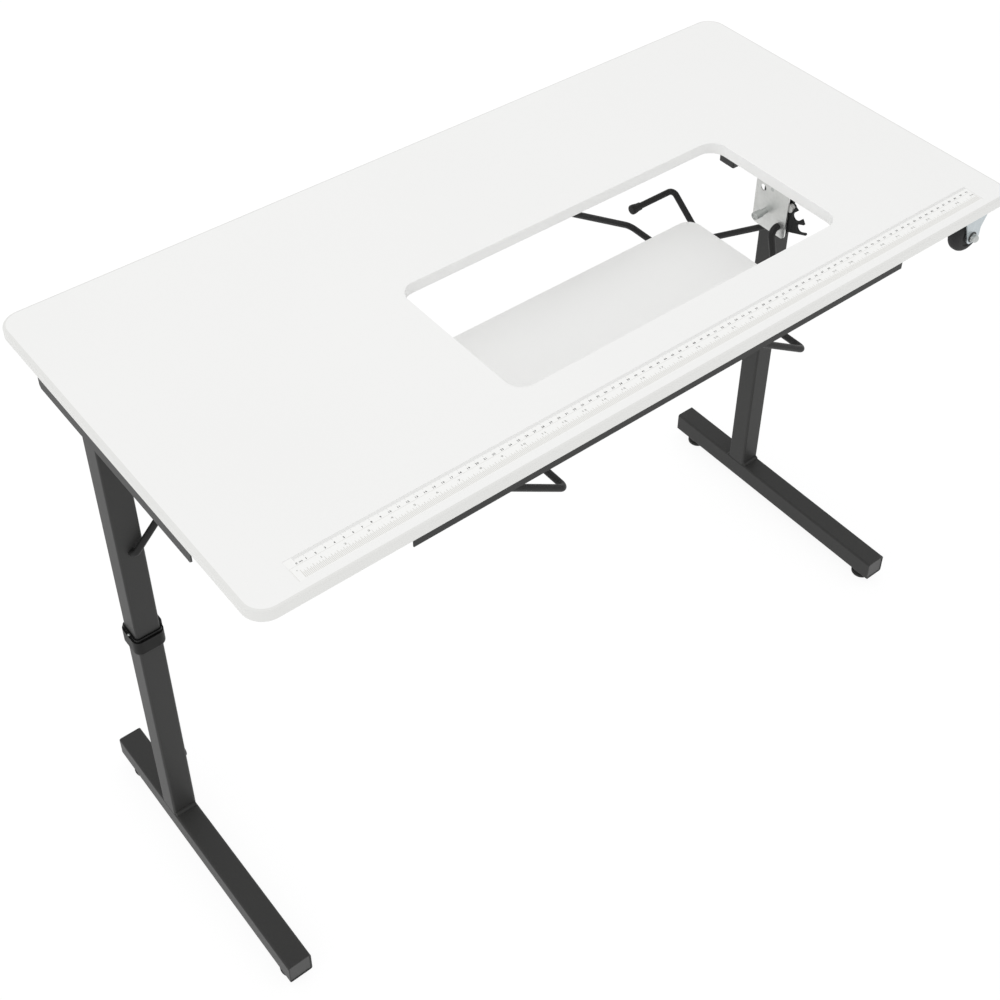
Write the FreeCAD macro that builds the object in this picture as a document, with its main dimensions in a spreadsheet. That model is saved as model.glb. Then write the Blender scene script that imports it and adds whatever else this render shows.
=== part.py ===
import FreeCAD, Part
import math
import os
import Sketcher
from types import SimpleNamespace
from FreeCAD import Placement, Rotation, Vector

# Folding sewing table. Millimetres; X runs along the length, Y to the back, Z up from the floor.

SIZES = [
    # board and its edging
    ("top_length", 1020), ("top_depth", 504), ("top_height", 712), ("board_thick", 15),
    ("top_corner", 24), ("edging_thick", 3.5), ("edging_round", 3),
    ("cutout_length", 464), ("cutout_depth", 204), ("cutout_corner", 20),
    ("cutout_shift", 77), ("cutout_front_inset", 85.5), ("lining_thick", 2), ("lining_round", 0.8),
    ("ruler_left_inset", 53.5), ("ruler_right_inset", 41.5), ("ruler_front_inset", 12.4),
    ("ruler_depth", 28.6), ("ruler_thick", 0.5), ("ruler_sink", 0.6), ("ruler_corner", 1), ("ruler_gap", 0.1),
    # steel channels under the board
    ("steel_wall", 1.5), ("long_rail_end_inset", 172.2), ("long_rail_shift", 4.8),
    ("long_rail_inset", 16),
    ("long_rail_width", 22), ("long_rail_drop", 28),
    ("cross_rail_width", 36), ("cross_rail_drop", 23), ("cross_rail_inset", 4),
    ("cross_rail_front_inset", 120.2), ("cross_rail_back_inset", 81.3), ("cross_rail_bevel", 3),
    ("notch_margin", 2), ("notch_rise", 15.5),
    # screws
    ("screw_head_radius", 4), ("screw_head_height", 2.2), ("screw_head_round", 1.3),
    ("screw_radius", 2), ("screw_gap", 0.1),
    ("long_rail_screw_margin", 43), ("cross_rail_screw_margin", 18),
    # legs
    ("tube_side", 30), ("tube_wall", 1.5), ("tube_corner", 3), ("post_end_inset", 22), ("post_back_inset", 176.4),
    ("pad_height", 11), ("pad_radius", 14), ("pad_front_margin", 21.9), ("pad_back_margin", 31.1),
    ("foot_front_inset", 56.6), ("foot_back_inset", 49.4),
    ("plug_depth", 14), ("plug_gap", 0.1), ("plug_sink", 0.6), ("plug_corner", 1.4),
    ("left_hinge_drop", 22), ("right_hinge_drop", 59), ("post_overrun", 5.8),
    ("hinge_pin_radius", 3), ("running_gap", 0.05), ("cheek_gap", 0.5), ("cheek_thick", 2),
    ("cheek_half_width", 8), ("cheek_end_radius", 6), ("pin_overhang", 2),
    ("collar_drop", 320), ("collar_length", 25), ("collar_wall", 4), ("collar_corner", 9), ("collar_bevel", 3),
    ("collar_neck_height", 4), ("collar_neck_wall", 2), ("collar_neck_corner", 5),
    ("collar_guard_half", 10), ("collar_guard_rise", 10), ("collar_tongue_half", 8), ("collar_tongue_rise", 17),
    ("bumper_height", 130), ("bumper_radius", 7.5), ("bumper_proud", 4),
    # braces and their keepers
    ("brace_rod_radius", 4), ("brace_bend", 6), ("brace_standoff", 6),
    ("left_brace_pivot_drop", 187), ("right_brace_pivot_drop", 137),
    ("brace_stub_depth", 9.4), ("left_brace_reach", 171.9), ("right_brace_reach", 143), ("brace_tip_reach", 12.9),
    ("roller_radius", 6), ("roller_width", 6.5), ("roller_gap", 0.5),
    ("keeper_inside", 18), ("keeper_drop", 16), ("keeper_side_gap", 0.6),
    ("keeper_near_margin", 5), ("keeper_length", 25), ("keeper_screw_margin", 7),
    # platform
    ("platform_gap", 4.2), ("platform_corner_ease", 2), ("platform_thick", 15), ("platform_drop", 100),
    ("platform_edging_thick", 1), ("platform_edging_round", 0.6),
    # swing rods
    ("swing_rod_radius", 4), ("swing_bend", 9), ("swing_end_bend", 5), ("swing_arm_length", 175),
    ("swing_pivot_drop", 10), ("swing_pivot_shift", 2.8), ("swing_end_margin", 52.3), ("swing_rail_gap", 5),
    ("swing_back_reach", 48.5), ("swing_hang", 5), ("swing_stub", 9), ("swing_back_stub", 11),
    ("clip_half_length", 9), ("clip_width", 14), ("clip_ear", 8), ("clip_ear_thick", 2.5),
    ("clip_floor", 2.5), ("clip_corner", 3), ("clip_spread", 75), ("clip_screw_radius", 3), ("clip_screw_height", 1.6),
    ("open_pivot_gap", 0.3),
    ("pivot_plate_thick", 2), ("pivot_plate_half", 12), ("pivot_plate_drop", 19), ("pivot_plate_corner", 6),
    ("pivot_flange", 15), ("pivot_plate_setback", 5.5),
    # selector: a steel plate beside the cut-out, with the lever's shaft through it
    ("selector_side_gap", 11), ("selector_thick", 2), ("selector_front_reach", 11.5), ("selector_back_reach", 41),
    ("selector_foot", 13.7), ("selector_corner", 6), ("selector_flange", 20), ("selector_screw_inset", 6),
    ("selector_hole_shift", 29.5), ("selector_hole_rise", 40.3), ("selector_hole_radius", 4.5),
    ("stud_shift", 21.5), ("stud_rise", 11), ("stud_radius", 3.6), ("stud_bore", 2.4), ("stud_reach", 19),
    ("stud_sleeve_radius", 5), ("stud_sleeve_length", 10.5), ("stud_recess_radius", 3.4), ("stud_recess_depth", 3),
    ("shaft_front_shift", 4.5), ("shaft_drop", 57.3), ("shaft_radius", 4.25), ("shaft_gap", 0.08),
    ("crank_setback", 11), ("crank_length", 55), ("crank_lean", 14), ("crank_bend", 10),
    ("sector_standoff", 2), ("sector_thick", 3), ("sector_radius", 41), ("sector_hub_radius", 13),
    ("sector_spacer_radius", 7.8), ("sector_start", 92), ("sector_end", 168.5), ("sector_root", 190),
    ("notch_centre_radius", 33.1), ("notch_half_width", 5.4),
    ("notch_first", 109.7), ("notch_second", 132), ("notch_third", 157.3),
    ("pawl_pivot_shift", 15.5), ("pawl_pivot_rise", 45), ("pawl_pin_radius", 2.5), ("pawl_eye_radius", 6),
    ("pawl_gap", 1.3), ("pawl_thick", 2.7), ("pawl_end_shift", 12.3), ("pawl_top_rise", 41.8), ("pawl_corner", 1),
    ("pawl_roller_radius", 5), ("roller_standout", 1.2), ("pawl_pin_head_radius", 4.5),
    ("pawl_pin_head", 1.5), ("pawl_pin_play", 0.3),
    # lever
    ("lever_radius", 4), ("lever_bend", 8), ("lever_shaft_reach", 17), ("lever_setback", 12),
    ("lever_low_shift", 109.1), ("lever_low_drop", 79.6), ("lever_top_shift", 165.6), ("lever_top_drop", 34.7),
    ("lever_tip_reach", 81), ("grip_length", 15), ("grip_radius", 6.2), ("grip_wall", 2), ("grip_round", 1.6),
    # tabs
    ("tab_length", 24), ("tab_width", 14), ("tab_thick", 10), ("tab_shift", 68), ("tab_inset", 2), ("tab_corner", 2),
    # casters
    ("caster_end_inset", 36), ("caster_edge_inset", 30), ("axle_drop", 46), ("wheel_radius", 23.5), ("wheel_width", 18),
    ("wheel_edge", 8), ("wheel_hub_radius", 8), ("wheel_hub_proud", 0.6), ("wheel_gap", 0.08),
    ("axle_radius", 3), ("fork_wall", 1.8), ("fork_side_gap", 1.2), ("fork_top_front", 20),
    ("fork_top_back", 26), ("fork_end_radius", 9), ("fork_end_round", 8), ("fork_end_back", 13),
    ("fork_waist", 23), ("fork_waist_front", 15.5), ("fork_waist_back", 20.5), ("fork_neck_rise", 9),
    ("fork_plate_reach", 27),
    ("axle_nut_radius", 5), ("axle_nut_height", 8), ("axle_nut_round", 4), ("axle_head_height", 2.5),
    ("caster_screw_x", 18), ("caster_screw_y", 5),
]

X_AXIS = Vector(1, 0, 0)
Y_AXIS = Vector(0, 1, 0)
Z_AXIS = Vector(0, 0, 1)
SIDES = {"left": -1, "right": 1}
TOUCH = 1e-6
NODES = []


def text_of(number):
    return number.text if isinstance(number, Size) else "%.9g" % number


class Size(float):
    """A number that remembers how the sheet works it out."""

    def __new__(cls, number, text):
        size = super().__new__(cls, number)
        size.text = text
        return size

    def __add__(self, other):
        return Size(float(self) + float(other), "( %s + %s )" % (self.text, text_of(other)))

    def __radd__(self, other):
        return Size(float(other) + float(self), "( %s + %s )" % (text_of(other), self.text))

    def __sub__(self, other):
        return Size(float(self) - float(other), "( %s - %s )" % (self.text, text_of(other)))

    def __rsub__(self, other):
        return Size(float(other) - float(self), "( %s - %s )" % (text_of(other), self.text))

    def __mul__(self, other):
        return Size(float(self) * float(other), "( %s * %s )" % (self.text, text_of(other)))

    def __rmul__(self, other):
        return Size(float(other) * float(self), "( %s * %s )" % (text_of(other), self.text))

    def __truediv__(self, other):
        return Size(float(self) / float(other), "( %s / %s )" % (self.text, text_of(other)))

    def __neg__(self):
        return Size(-float(self), "( 0 - %s )" % self.text)


doc = FreeCAD.newDocument("folding_sewing_table")
sheet = doc.addObject("Spreadsheet::Sheet", "Sizes")
for row, (name, value) in enumerate(SIZES, start=1):
    sheet.set("A%d" % row, name)
    sheet.set("B%d" % row, str(value))
    sheet.setAlias("B%d" % row, name)
doc.recompute()
g = SimpleNamespace(**{name: Size(sheet.get(name), "Sizes." + name) for name, value in SIZES})


# ---- Places worked out from the sizes ----------------------------------------------------------

half_length = g.top_length / 2
half_depth = g.top_depth / 2
board_under = g.top_height - g.board_thick
web_seat = board_under - g.steel_wall

ruler_length = g.top_length - g.ruler_left_inset - g.ruler_right_inset
ruler_x = (g.ruler_left_inset - g.ruler_right_inset) / 2
ruler_y = g.ruler_front_inset + g.ruler_depth / 2 - half_depth

cutout_y = g.cutout_front_inset + g.cutout_depth / 2 - half_depth
cutout_right = g.cutout_shift + g.cutout_length / 2
cutout_left = g.cutout_shift - g.cutout_length / 2

post_x = half_length - g.post_end_inset
post_y = half_depth - g.post_back_inset
post_front = post_y - g.tube_side / 2
post_back = post_y + g.tube_side / 2
hinge_heights = {"left": board_under - g.left_hinge_drop, "right": board_under - g.right_hinge_drop}

brace_y = post_front - g.brace_standoff
brace_pivots = {"left": board_under - g.left_brace_pivot_drop, "right": board_under - g.right_brace_pivot_drop}
brace_tops = {"left": post_x - g.left_brace_reach, "right": post_x - g.right_brace_reach}
brace_top_z = web_seat - g.roller_gap - g.roller_radius

platform_length = g.cutout_length - 2 * g.platform_gap
platform_depth = g.cutout_depth - 2 * g.platform_gap
platform_corner = g.cutout_corner - g.platform_corner_ease
platform_under = g.top_height - g.platform_drop - g.platform_thick

swing_pivot_z = board_under - g.swing_pivot_drop
swing_pivot_right = g.cutout_shift + g.swing_pivot_shift
swing_pivots = {"right": swing_pivot_right,
                "left": swing_pivot_right - (platform_length - 2 * g.swing_end_margin)}
swing_front_y = g.long_rail_inset + g.long_rail_width + g.swing_rail_gap - half_depth
swing_back_y = cutout_y + g.cutout_depth / 2 + g.swing_back_reach
hang_z = platform_under - g.swing_hang


def arm_reach(rise):
    """How far a swing arm reaches along X when its end is this far above or below its pivot."""
    arm = g.swing_arm_length
    text = "sqrt( %s * %s - %s * %s )" % (arm.text, arm.text, rise.text, rise.text)
    return Size(math.sqrt(arm ** 2 - rise ** 2), text)


swing_reach = arm_reach(swing_pivot_z - hang_z)
flush_reach = arm_reach(board_under - g.swing_hang - swing_pivot_z)
platform_x = g.cutout_shift - flush_reach + swing_reach

selector_x = cutout_right + g.selector_side_gap
shaft_y = cutout_y - g.shaft_front_shift
shaft_z = board_under - g.shaft_drop


# ---- Building blocks ---------------------------------------------------------------------------

def bind(obj, prop, size):
    obj.setExpression(prop, text_of(size))


def place(obj, x, y, z):
    """Bind an object's position to the sheet."""
    bind(obj, "Placement.Base.x", x)
    bind(obj, "Placement.Base.y", y)
    bind(obj, "Placement.Base.z", z)
    return obj


def rod(radius, length, x, y, z):
    """Upright cylinder that starts at the given point."""
    obj = doc.addObject("Part::Cylinder", "Round")
    bind(obj, "Radius", radius)
    bind(obj, "Height", length)
    return place(obj, x, y, z)


def gather(parts):
    """Separate solids kept as one piece."""
    obj = doc.addObject("Part::Compound", "Set")
    obj.Links = parts
    return obj


def raw(shape):
    obj = doc.addObject("Part::Feature", "Shape")
    obj.Shape = shape
    return obj


def node(obj, label):
    obj.Label = label
    NODES.append(obj)
    return obj


# ---- Sketched outlines -------------------------------------------------------------------------

def origin_plane(body, role):
    return next(item for item in body.Origin.OriginFeatures if item.Role == role)


def new_sketch(body, lift=None):
    """Sketch on the body's own XY plane, optionally lifted by a size."""
    sketch = body.newObject("Sketcher::SketchObject", "Outline")
    sketch.AttachmentSupport = (origin_plane(body, "XY_Plane"), [""])
    sketch.MapMode = "FlatFace"
    if lift is not None:
        bind(sketch, "AttachmentOffset.Base.z", lift)
    return sketch


def rounded_outline(sketch, length, depth, corner, x, y):
    """Add a closed rounded rectangle, bound to its sizes and its centre."""
    left = x - length / 2
    right = x + length / 2
    low = y - depth / 2
    high = y + depth / 2
    r = corner
    first = sketch.GeometryCount
    arcs = [
        (Vector(left + r, low + r, 0), math.pi, 1.5 * math.pi),
        (Vector(right - r, low + r, 0), 1.5 * math.pi, 2 * math.pi),
        (Vector(right - r, high - r, 0), 0, 0.5 * math.pi),
        (Vector(left + r, high - r, 0), 0.5 * math.pi, math.pi),
    ]
    lines = [
        (Vector(left + r, low, 0), Vector(right - r, low, 0)),
        (Vector(right, low + r, 0), Vector(right, high - r, 0)),
        (Vector(right - r, high, 0), Vector(left + r, high, 0)),
        (Vector(left, high - r, 0), Vector(left, low + r, 0)),
    ]
    for (centre, start, end), (begin, finish) in zip(arcs, lines):
        sketch.addGeometry(Part.ArcOfCircle(Part.Circle(centre, Z_AXIS, r), start, end), False)
        sketch.addGeometry(Part.LineSegment(begin, finish), False)
    for index in range(4):
        arc = first + 2 * index
        line = arc + 1
        following = first + (2 * index + 2) % 8
        sketch.addConstraint(Sketcher.Constraint("Tangent", arc, 2, line, 1))
        sketch.addConstraint(Sketcher.Constraint("Tangent", line, 2, following, 1))
        if index:
            sketch.addConstraint(Sketcher.Constraint("Equal", first, arc))
    sketch.addConstraint(Sketcher.Constraint("Horizontal", first + 1))
    sketch.addConstraint(Sketcher.Constraint("Vertical", first + 3))
    measures = [
        (Sketcher.Constraint("Radius", first, r), corner),
        (Sketcher.Constraint("DistanceX", -1, 1, first + 3, 1, right), right),
        (Sketcher.Constraint("DistanceX", first + 7, 1, first + 3, 1, length), length),
        (Sketcher.Constraint("DistanceY", first + 1, 1, first + 5, 1, depth), depth),
        (Sketcher.Constraint("DistanceY", -1, 1, first + 5, 1, high), high),
    ]
    for constraint, size in measures:
        number = sketch.addConstraint(constraint)
        bind(sketch, "Constraints[%d]" % number, size)


def plate(label, outlines, thick, x, y, z):
    """Sketch-based body: a plate from one outer outline and any openings in it."""
    body = doc.addObject("PartDesign::Body", "Body")
    sketch = new_sketch(body)
    for outline in outlines:
        rounded_outline(sketch, *outline)
    pad = body.newObject("PartDesign::Pad", "Pad")
    pad.Profile = sketch
    bind(pad, "Length", thick)
    body.Tip = pad
    place(body, x, y, z)
    doc.recompute()
    return node(body, label), pad


def round_edges(body, feature, radius, outline):
    """Round the upper and lower edges that lie on the outline."""
    length, depth, corner, x, y = outline
    low = feature.Shape.BoundBox.ZMin
    high = feature.Shape.BoundBox.ZMax
    names = []
    for number, edge in enumerate(feature.Shape.Edges, start=1):
        box = edge.BoundBox
        on_outline = all(
            abs(abs(vertex.X - x) - length / 2) < TOUCH or abs(abs(vertex.Y - y) - depth / 2) < TOUCH
            for vertex in edge.Vertexes
        )
        on_face = min(abs(box.ZMin - low), abs(box.ZMin - high)) < TOUCH
        if box.ZLength < TOUCH and on_face and on_outline:
            names.append("Edge%d" % number)
    fillet = body.newObject("PartDesign::Fillet", "Rounding")
    fillet.Base = (feature, names)
    bind(fillet, "Radius", radius)
    body.Tip = fillet
    doc.recompute()


# ---- Shapes with no primitive ------------------------------------------------------------------

def bent_rod(points, radius, bends):
    """Round bar along the points, with an arc of its own radius at each inner corner."""
    edges = []
    start = points[0]
    for before, corner, after, bend in zip(points, points[1:], points[2:], bends):
        arriving = (corner - before).normalize()
        leaving = (after - corner).normalize()
        angle = arriving.getAngle(leaving)
        setback = bend * math.tan(angle / 2)
        arc_start = corner - arriving * setback
        arc_end = corner + leaving * setback
        inward = (leaving - arriving).normalize()
        centre = corner + inward * (bend / math.cos(angle / 2))
        middle = centre - inward * bend
        edges.append(Part.LineSegment(start, arc_start).toShape())
        edges.append(Part.Arc(arc_start, middle, arc_end).toShape())
        start = arc_end
    edges.append(Part.LineSegment(start, points[-1]).toShape())
    path = Part.Wire(edges)
    heading = (points[1] - points[0]).normalize()
    section = Part.Wire([Part.Circle(points[0], heading, radius).toShape()])
    return path.makePipeShell([section], True, False)


def flat_x(points, x, thick):
    """Plate across X from (y, z) corners; a corner with a third number is rounded by it."""
    return flat([Vector(x, item[0], item[1]) for item in points],
                [item[2] if len(item) > 2 else 0 for item in points], X_AXIS * thick)


def flat_y(points, y, thick):
    """Plate across Y from (x, z) corners, rounded as in flat_x."""
    return flat([Vector(item[0], y, item[1]) for item in points],
                [item[2] if len(item) > 2 else 0 for item in points], Y_AXIS * thick)


def flat_z(points, z, thick):
    """Plate across Z from (x, y) corners, rounded as in flat_x."""
    return flat([Vector(item[0], item[1], z) for item in points],
                [item[2] if len(item) > 2 else 0 for item in points], Z_AXIS * thick)


def flat(corners, rounds, depth):
    edges = []
    count = len(corners)
    starts = []
    ends = []
    arcs = []
    for index, corner in enumerate(corners):
        before = corners[index - 1]
        after = corners[(index + 1) % count]
        if not rounds[index]:
            starts.append(corner)
            ends.append(corner)
            arcs.append(None)
            continue
        arriving = (corner - before).normalize()
        leaving = (after - corner).normalize()
        angle = arriving.getAngle(leaving)
        setback = rounds[index] * math.tan(angle / 2)
        inward = (leaving - arriving).normalize()
        centre = corner + inward * (rounds[index] / math.cos(angle / 2))
        starts.append(corner - arriving * setback)
        ends.append(corner + leaving * setback)
        arcs.append(centre - inward * rounds[index])
    for index in range(count):
        if arcs[index] is not None:
            edges.append(Part.Arc(starts[index], arcs[index], ends[index]).toShape())
        following = (index + 1) % count
        if (starts[following] - ends[index]).Length > 1e-6:
            edges.append(Part.LineSegment(ends[index], starts[following]).toShape())
    return Part.Face(Part.Wire(edges)).extrude(depth)


def disc(radius, length, start, axis):
    return Part.makeCylinder(radius, length, start, axis)


def square_tube(side, wall, corner, length, start, axis):
    """Square tube with rounded corners, centred on the start point and run along the axis."""
    def bar(width, rounding):
        half = width / 2
        corners = [(-half, -half, rounding), (half, -half, rounding),
                   (half, half, rounding), (-half, half, rounding)]
        return flat_z(corners, 0, length)
    tube = bar(side, corner).cut(bar(side - 2 * wall, max(corner - wall, 0.2)))
    tube.Placement = Placement(start, Rotation(Z_AXIS, axis))
    return tube


# ---- Board, edging and ruler -------------------------------------------------------------------

OUTER = (g.top_length, g.top_depth, g.top_corner, 0, 0)
BOARD = (g.top_length - 2 * g.edging_thick, g.top_depth - 2 * g.edging_thick,
         g.top_corner - g.edging_thick, 0, 0)
LINED = (g.cutout_length + 2 * g.lining_thick, g.cutout_depth + 2 * g.lining_thick,
         g.cutout_corner + g.lining_thick, g.cutout_shift, cutout_y)
CUTOUT = (g.cutout_length, g.cutout_depth, g.cutout_corner, g.cutout_shift, cutout_y)
RECESS = (ruler_length + 2 * g.ruler_gap, g.ruler_depth + 2 * g.ruler_gap,
          g.ruler_corner + g.ruler_gap, ruler_x, ruler_y)
RULER = (ruler_length, g.ruler_depth, g.ruler_corner, ruler_x, ruler_y)

board, board_pad = plate("table_top", [BOARD, LINED], g.board_thick, 0, 0, board_under)
recess_sketch = new_sketch(board, g.board_thick)
rounded_outline(recess_sketch, *RECESS)
recess = board.newObject("PartDesign::Pocket", "RulerRecess")
recess.Profile = recess_sketch
bind(recess, "Length", g.ruler_sink)
board.Tip = recess
doc.recompute()

edging, edging_pad = plate("top_edge_band", [OUTER, BOARD], g.board_thick, 0, 0, board_under)
round_edges(edging, edging_pad, g.edging_round, OUTER)

lining, lining_pad = plate("cutout_edge_band", [LINED, CUTOUT], g.board_thick, 0, 0, board_under)
round_edges(lining, lining_pad, g.lining_round, CUTOUT)

plate("ruler_strip", [RULER], g.ruler_thick, 0, 0, g.top_height - g.ruler_sink)


# ---- Screws ------------------------------------------------------------------------------------

def screw_hole(x, y, top):
    """Hole through a sheet that lies against the underside of the board."""
    return disc(g.screw_radius + g.screw_gap, 2 * g.steel_wall, Vector(x, y, top - 2 * g.steel_wall), Z_AXIS)


def screw(x, y, sheet_thick):
    """Pan-head screw that holds a sheet to the underside of the board."""
    seat = board_under - sheet_thick
    low = seat - g.screw_head_height
    head = disc(g.screw_head_radius, g.screw_head_height, Vector(x, y, low), Z_AXIS)
    rim = [edge for edge in head.Edges if abs(edge.BoundBox.ZMax - low) < TOUCH]
    head = head.makeFillet(g.screw_head_round, rim)
    return head.fuse(disc(g.screw_radius, sheet_thick, Vector(x, y, seat), Z_AXIS))


# ---- Long rails --------------------------------------------------------------------------------

long_rail_half = half_length - g.long_rail_end_inset
long_rail_left = g.long_rail_shift - long_rail_half
long_rail_screws = [g.long_rail_shift + direction * (long_rail_half - g.long_rail_screw_margin)
                    for direction in (-1, 0, 1)]
rail_screws = []


def long_rail(label, facing, pivot_holes):
    """Open channel under a long edge; facing is -1 at the front and 1 at the back."""
    outer = facing * (half_depth - g.long_rail_inset)
    inner = outer - facing * g.long_rail_width
    low = min(outer, inner)
    middle = (outer + inner) / 2
    body = Part.makeBox(2 * long_rail_half, g.long_rail_width, g.long_rail_drop,
                        Vector(long_rail_left, low, board_under - g.long_rail_drop))
    hollow = Part.makeBox(2 * long_rail_half, g.long_rail_width - 2 * g.steel_wall,
                          g.long_rail_drop - g.steel_wall,
                          Vector(long_rail_left, low + g.steel_wall, board_under - g.long_rail_drop))
    body = body.cut(hollow)
    for x in pivot_holes:
        start = Vector(x, inner - g.steel_wall, swing_pivot_z)
        body = body.cut(disc(g.swing_rod_radius + g.running_gap, 2 * g.steel_wall, start, Y_AXIS))
    for x in long_rail_screws:
        body = body.cut(screw_hole(x, middle, board_under))
        rail_screws.append(screw(x, middle, g.steel_wall))
    node(raw(body), label)


long_rail("front_rail", -1, swing_pivots.values())
long_rail("rear_rail", 1, [])


# ---- Cross rails, hinge brackets and pins ------------------------------------------------------

def mirrored(shape, side):
    """The shape is built for the right end; the left end is its mirror image."""
    return shape if side == "right" else shape.mirror(Vector(0, 0, 0), X_AXIS)


def cross_rail(side):
    front = g.cross_rail_front_inset - half_depth
    back = half_depth - g.cross_rail_back_inset
    inner = half_length - g.cross_rail_inset - g.cross_rail_width
    bottom = board_under - g.cross_rail_drop
    body = flat_x([
        (front, board_under), (back, board_under),
        (back, bottom + g.cross_rail_bevel), (back - g.cross_rail_bevel, bottom, g.steel_wall),
        (front + g.cross_rail_bevel, bottom, g.steel_wall), (front, bottom + g.cross_rail_bevel),
    ], inner, g.cross_rail_width)
    hollow = Part.makeBox(g.cross_rail_width - 2 * g.steel_wall, back - front,
                          g.cross_rail_drop - g.steel_wall, Vector(inner + g.steel_wall, front, bottom))
    notch = Part.makeBox(2 * g.steel_wall, g.tube_side + 2 * g.notch_margin, g.notch_rise,
                         Vector(inner - g.steel_wall / 2, post_front - g.notch_margin, bottom))
    body = body.cut(hollow).cut(notch)
    for y in (front + g.cross_rail_screw_margin, back - g.cross_rail_screw_margin):
        body = body.cut(screw_hole(post_x, y, board_under))
        rail_screws.append(screw(SIDES[side] * post_x, y, g.steel_wall))
    node(raw(mirrored(body, side)), side + "_cross_rail")


def hinge_bracket(side):
    """Bridge plate under the rail's web with a cheek down each side of the post, and its pin."""
    pin_z = hinge_heights[side]
    first = post_front - g.cheek_gap - g.cheek_thick
    second = post_back + g.cheek_gap
    near = post_x - g.cheek_half_width
    far = post_x + g.cheek_half_width
    body = Part.makeBox(far - near, second + g.cheek_thick - first, g.cheek_thick,
                        Vector(near, first, web_seat - g.cheek_thick))
    for y in (first, second):
        cheek = [(near, web_seat), (far, web_seat),
                 (far, pin_z - g.cheek_end_radius, g.cheek_end_radius),
                 (near, pin_z - g.cheek_end_radius, g.cheek_end_radius)]
        body = body.fuse(flat_y(cheek, y, g.cheek_thick))
    pin_start = Vector(post_x, first - g.pin_overhang, pin_z)
    pin_length = second + g.cheek_thick + g.pin_overhang - pin_start.y
    pin = disc(g.hinge_pin_radius, pin_length, pin_start, Y_AXIS)
    node(raw(mirrored(body.cut(pin), side)), side + "_hinge_bracket")
    node(raw(mirrored(pin, side)), side + "_hinge_pin")


for side in SIDES:
    cross_rail(side)
    hinge_bracket(side)


# ---- Brace keepers -----------------------------------------------------------------------------

def brace_keeper(side):
    """Short channel, open below and at both ends, that the upper end of a brace seats in."""
    near = brace_tops[side] - g.keeper_near_margin
    inner_back = brace_y + g.brace_rod_radius + g.keeper_side_gap
    inner_front = inner_back - g.keeper_inside
    bottom = board_under - g.keeper_drop
    body = Part.makeBox(g.keeper_length, g.keeper_inside + 2 * g.steel_wall, g.keeper_drop,
                        Vector(near, inner_front - g.steel_wall, bottom))
    hollow = Part.makeBox(g.keeper_length, g.keeper_inside, g.keeper_drop - g.steel_wall,
                          Vector(near, inner_front, bottom))
    screw_x = near + g.keeper_length - g.keeper_screw_margin
    screw_y = (inner_front + inner_back) / 2
    body = body.cut(hollow).cut(screw_hole(screw_x, screw_y, board_under))
    rail_screws.append(screw(SIDES[side] * screw_x, screw_y, g.steel_wall))
    node(raw(mirrored(body, side)), side + "_brace_keeper")


for side in SIDES:
    brace_keeper(side)
node(raw(Part.makeCompound(rail_screws)), "rail_screws")


# ---- Legs --------------------------------------------------------------------------------------

def square_bar(x, width, rounding, low, high):
    """Upright bar with rounded corners, centred on a post."""
    half = width / 2
    corners = [(x - half, post_y - half, rounding), (x + half, post_y - half, rounding),
               (x + half, post_y + half, rounding), (x - half, post_y + half, rounding)]
    return flat_z(corners, low, high - low)


def foot(side, x):
    """Foot bar with its end plugs and floor pads."""
    front = g.foot_front_inset - half_depth
    back = half_depth - g.foot_back_inset
    middle = g.pad_height + g.tube_side / 2
    bar = square_tube(g.tube_side, g.tube_wall, g.tube_corner, back - front, Vector(x, front, middle), Y_AXIS)
    node(raw(bar), side + "_foot_bar")

    half = g.tube_side / 2 - g.tube_wall - g.plug_gap
    corners = [(x - half, middle - half, g.plug_corner), (x + half, middle - half, g.plug_corner),
               (x + half, middle + half, g.plug_corner), (x - half, middle + half, g.plug_corner)]
    starts = (front + g.plug_sink, back - g.plug_sink - g.plug_depth)
    plugs = [flat_y(corners, start, g.plug_depth) for start in starts]
    node(raw(Part.makeCompound(plugs)), side + "_foot_plugs")

    pads = [rod(g.pad_radius, g.pad_height, x, y, 0)
            for y in (front + g.pad_front_margin, back - g.pad_back_margin)]
    node(gather(pads), side + "_foot_pads")


def collar(side, x):
    """Plastic ring shrunk on the post, with a thin neck above it and a tongue behind a guard."""
    top = board_under - g.collar_drop
    bottom = top - g.collar_length
    rim = top - g.collar_neck_height
    face = x + g.tube_side / 2
    guard_x = face + g.collar_neck_wall
    ring = square_bar(x, g.tube_side + 2 * g.collar_wall, g.collar_corner, bottom, rim)
    lower_edges = [edge for edge in ring.Edges if abs(edge.BoundBox.ZMax - bottom) < TOUCH]
    ring = ring.makeFillet(g.collar_bevel, lower_edges)
    neck = square_bar(x, g.tube_side + 2 * g.collar_neck_wall, g.collar_neck_corner, bottom, top)
    guard = Part.makeBox(g.collar_wall - g.collar_neck_wall, 2 * g.collar_guard_half,
                         g.collar_guard_rise + g.collar_wall,
                         Vector(guard_x, post_y - g.collar_guard_half, rim - g.collar_wall))
    tongue = Part.makeBox(g.collar_neck_wall, 2 * g.collar_tongue_half,
                          g.collar_tongue_rise + g.collar_wall,
                          Vector(face, post_y - g.collar_tongue_half, rim - g.collar_wall))
    inside = square_bar(x, g.tube_side, g.tube_corner, bottom, top)
    node(raw(ring.fuse([neck, guard, tongue]).cut(inside).removeSplitter()), side + "_collar")


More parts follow.
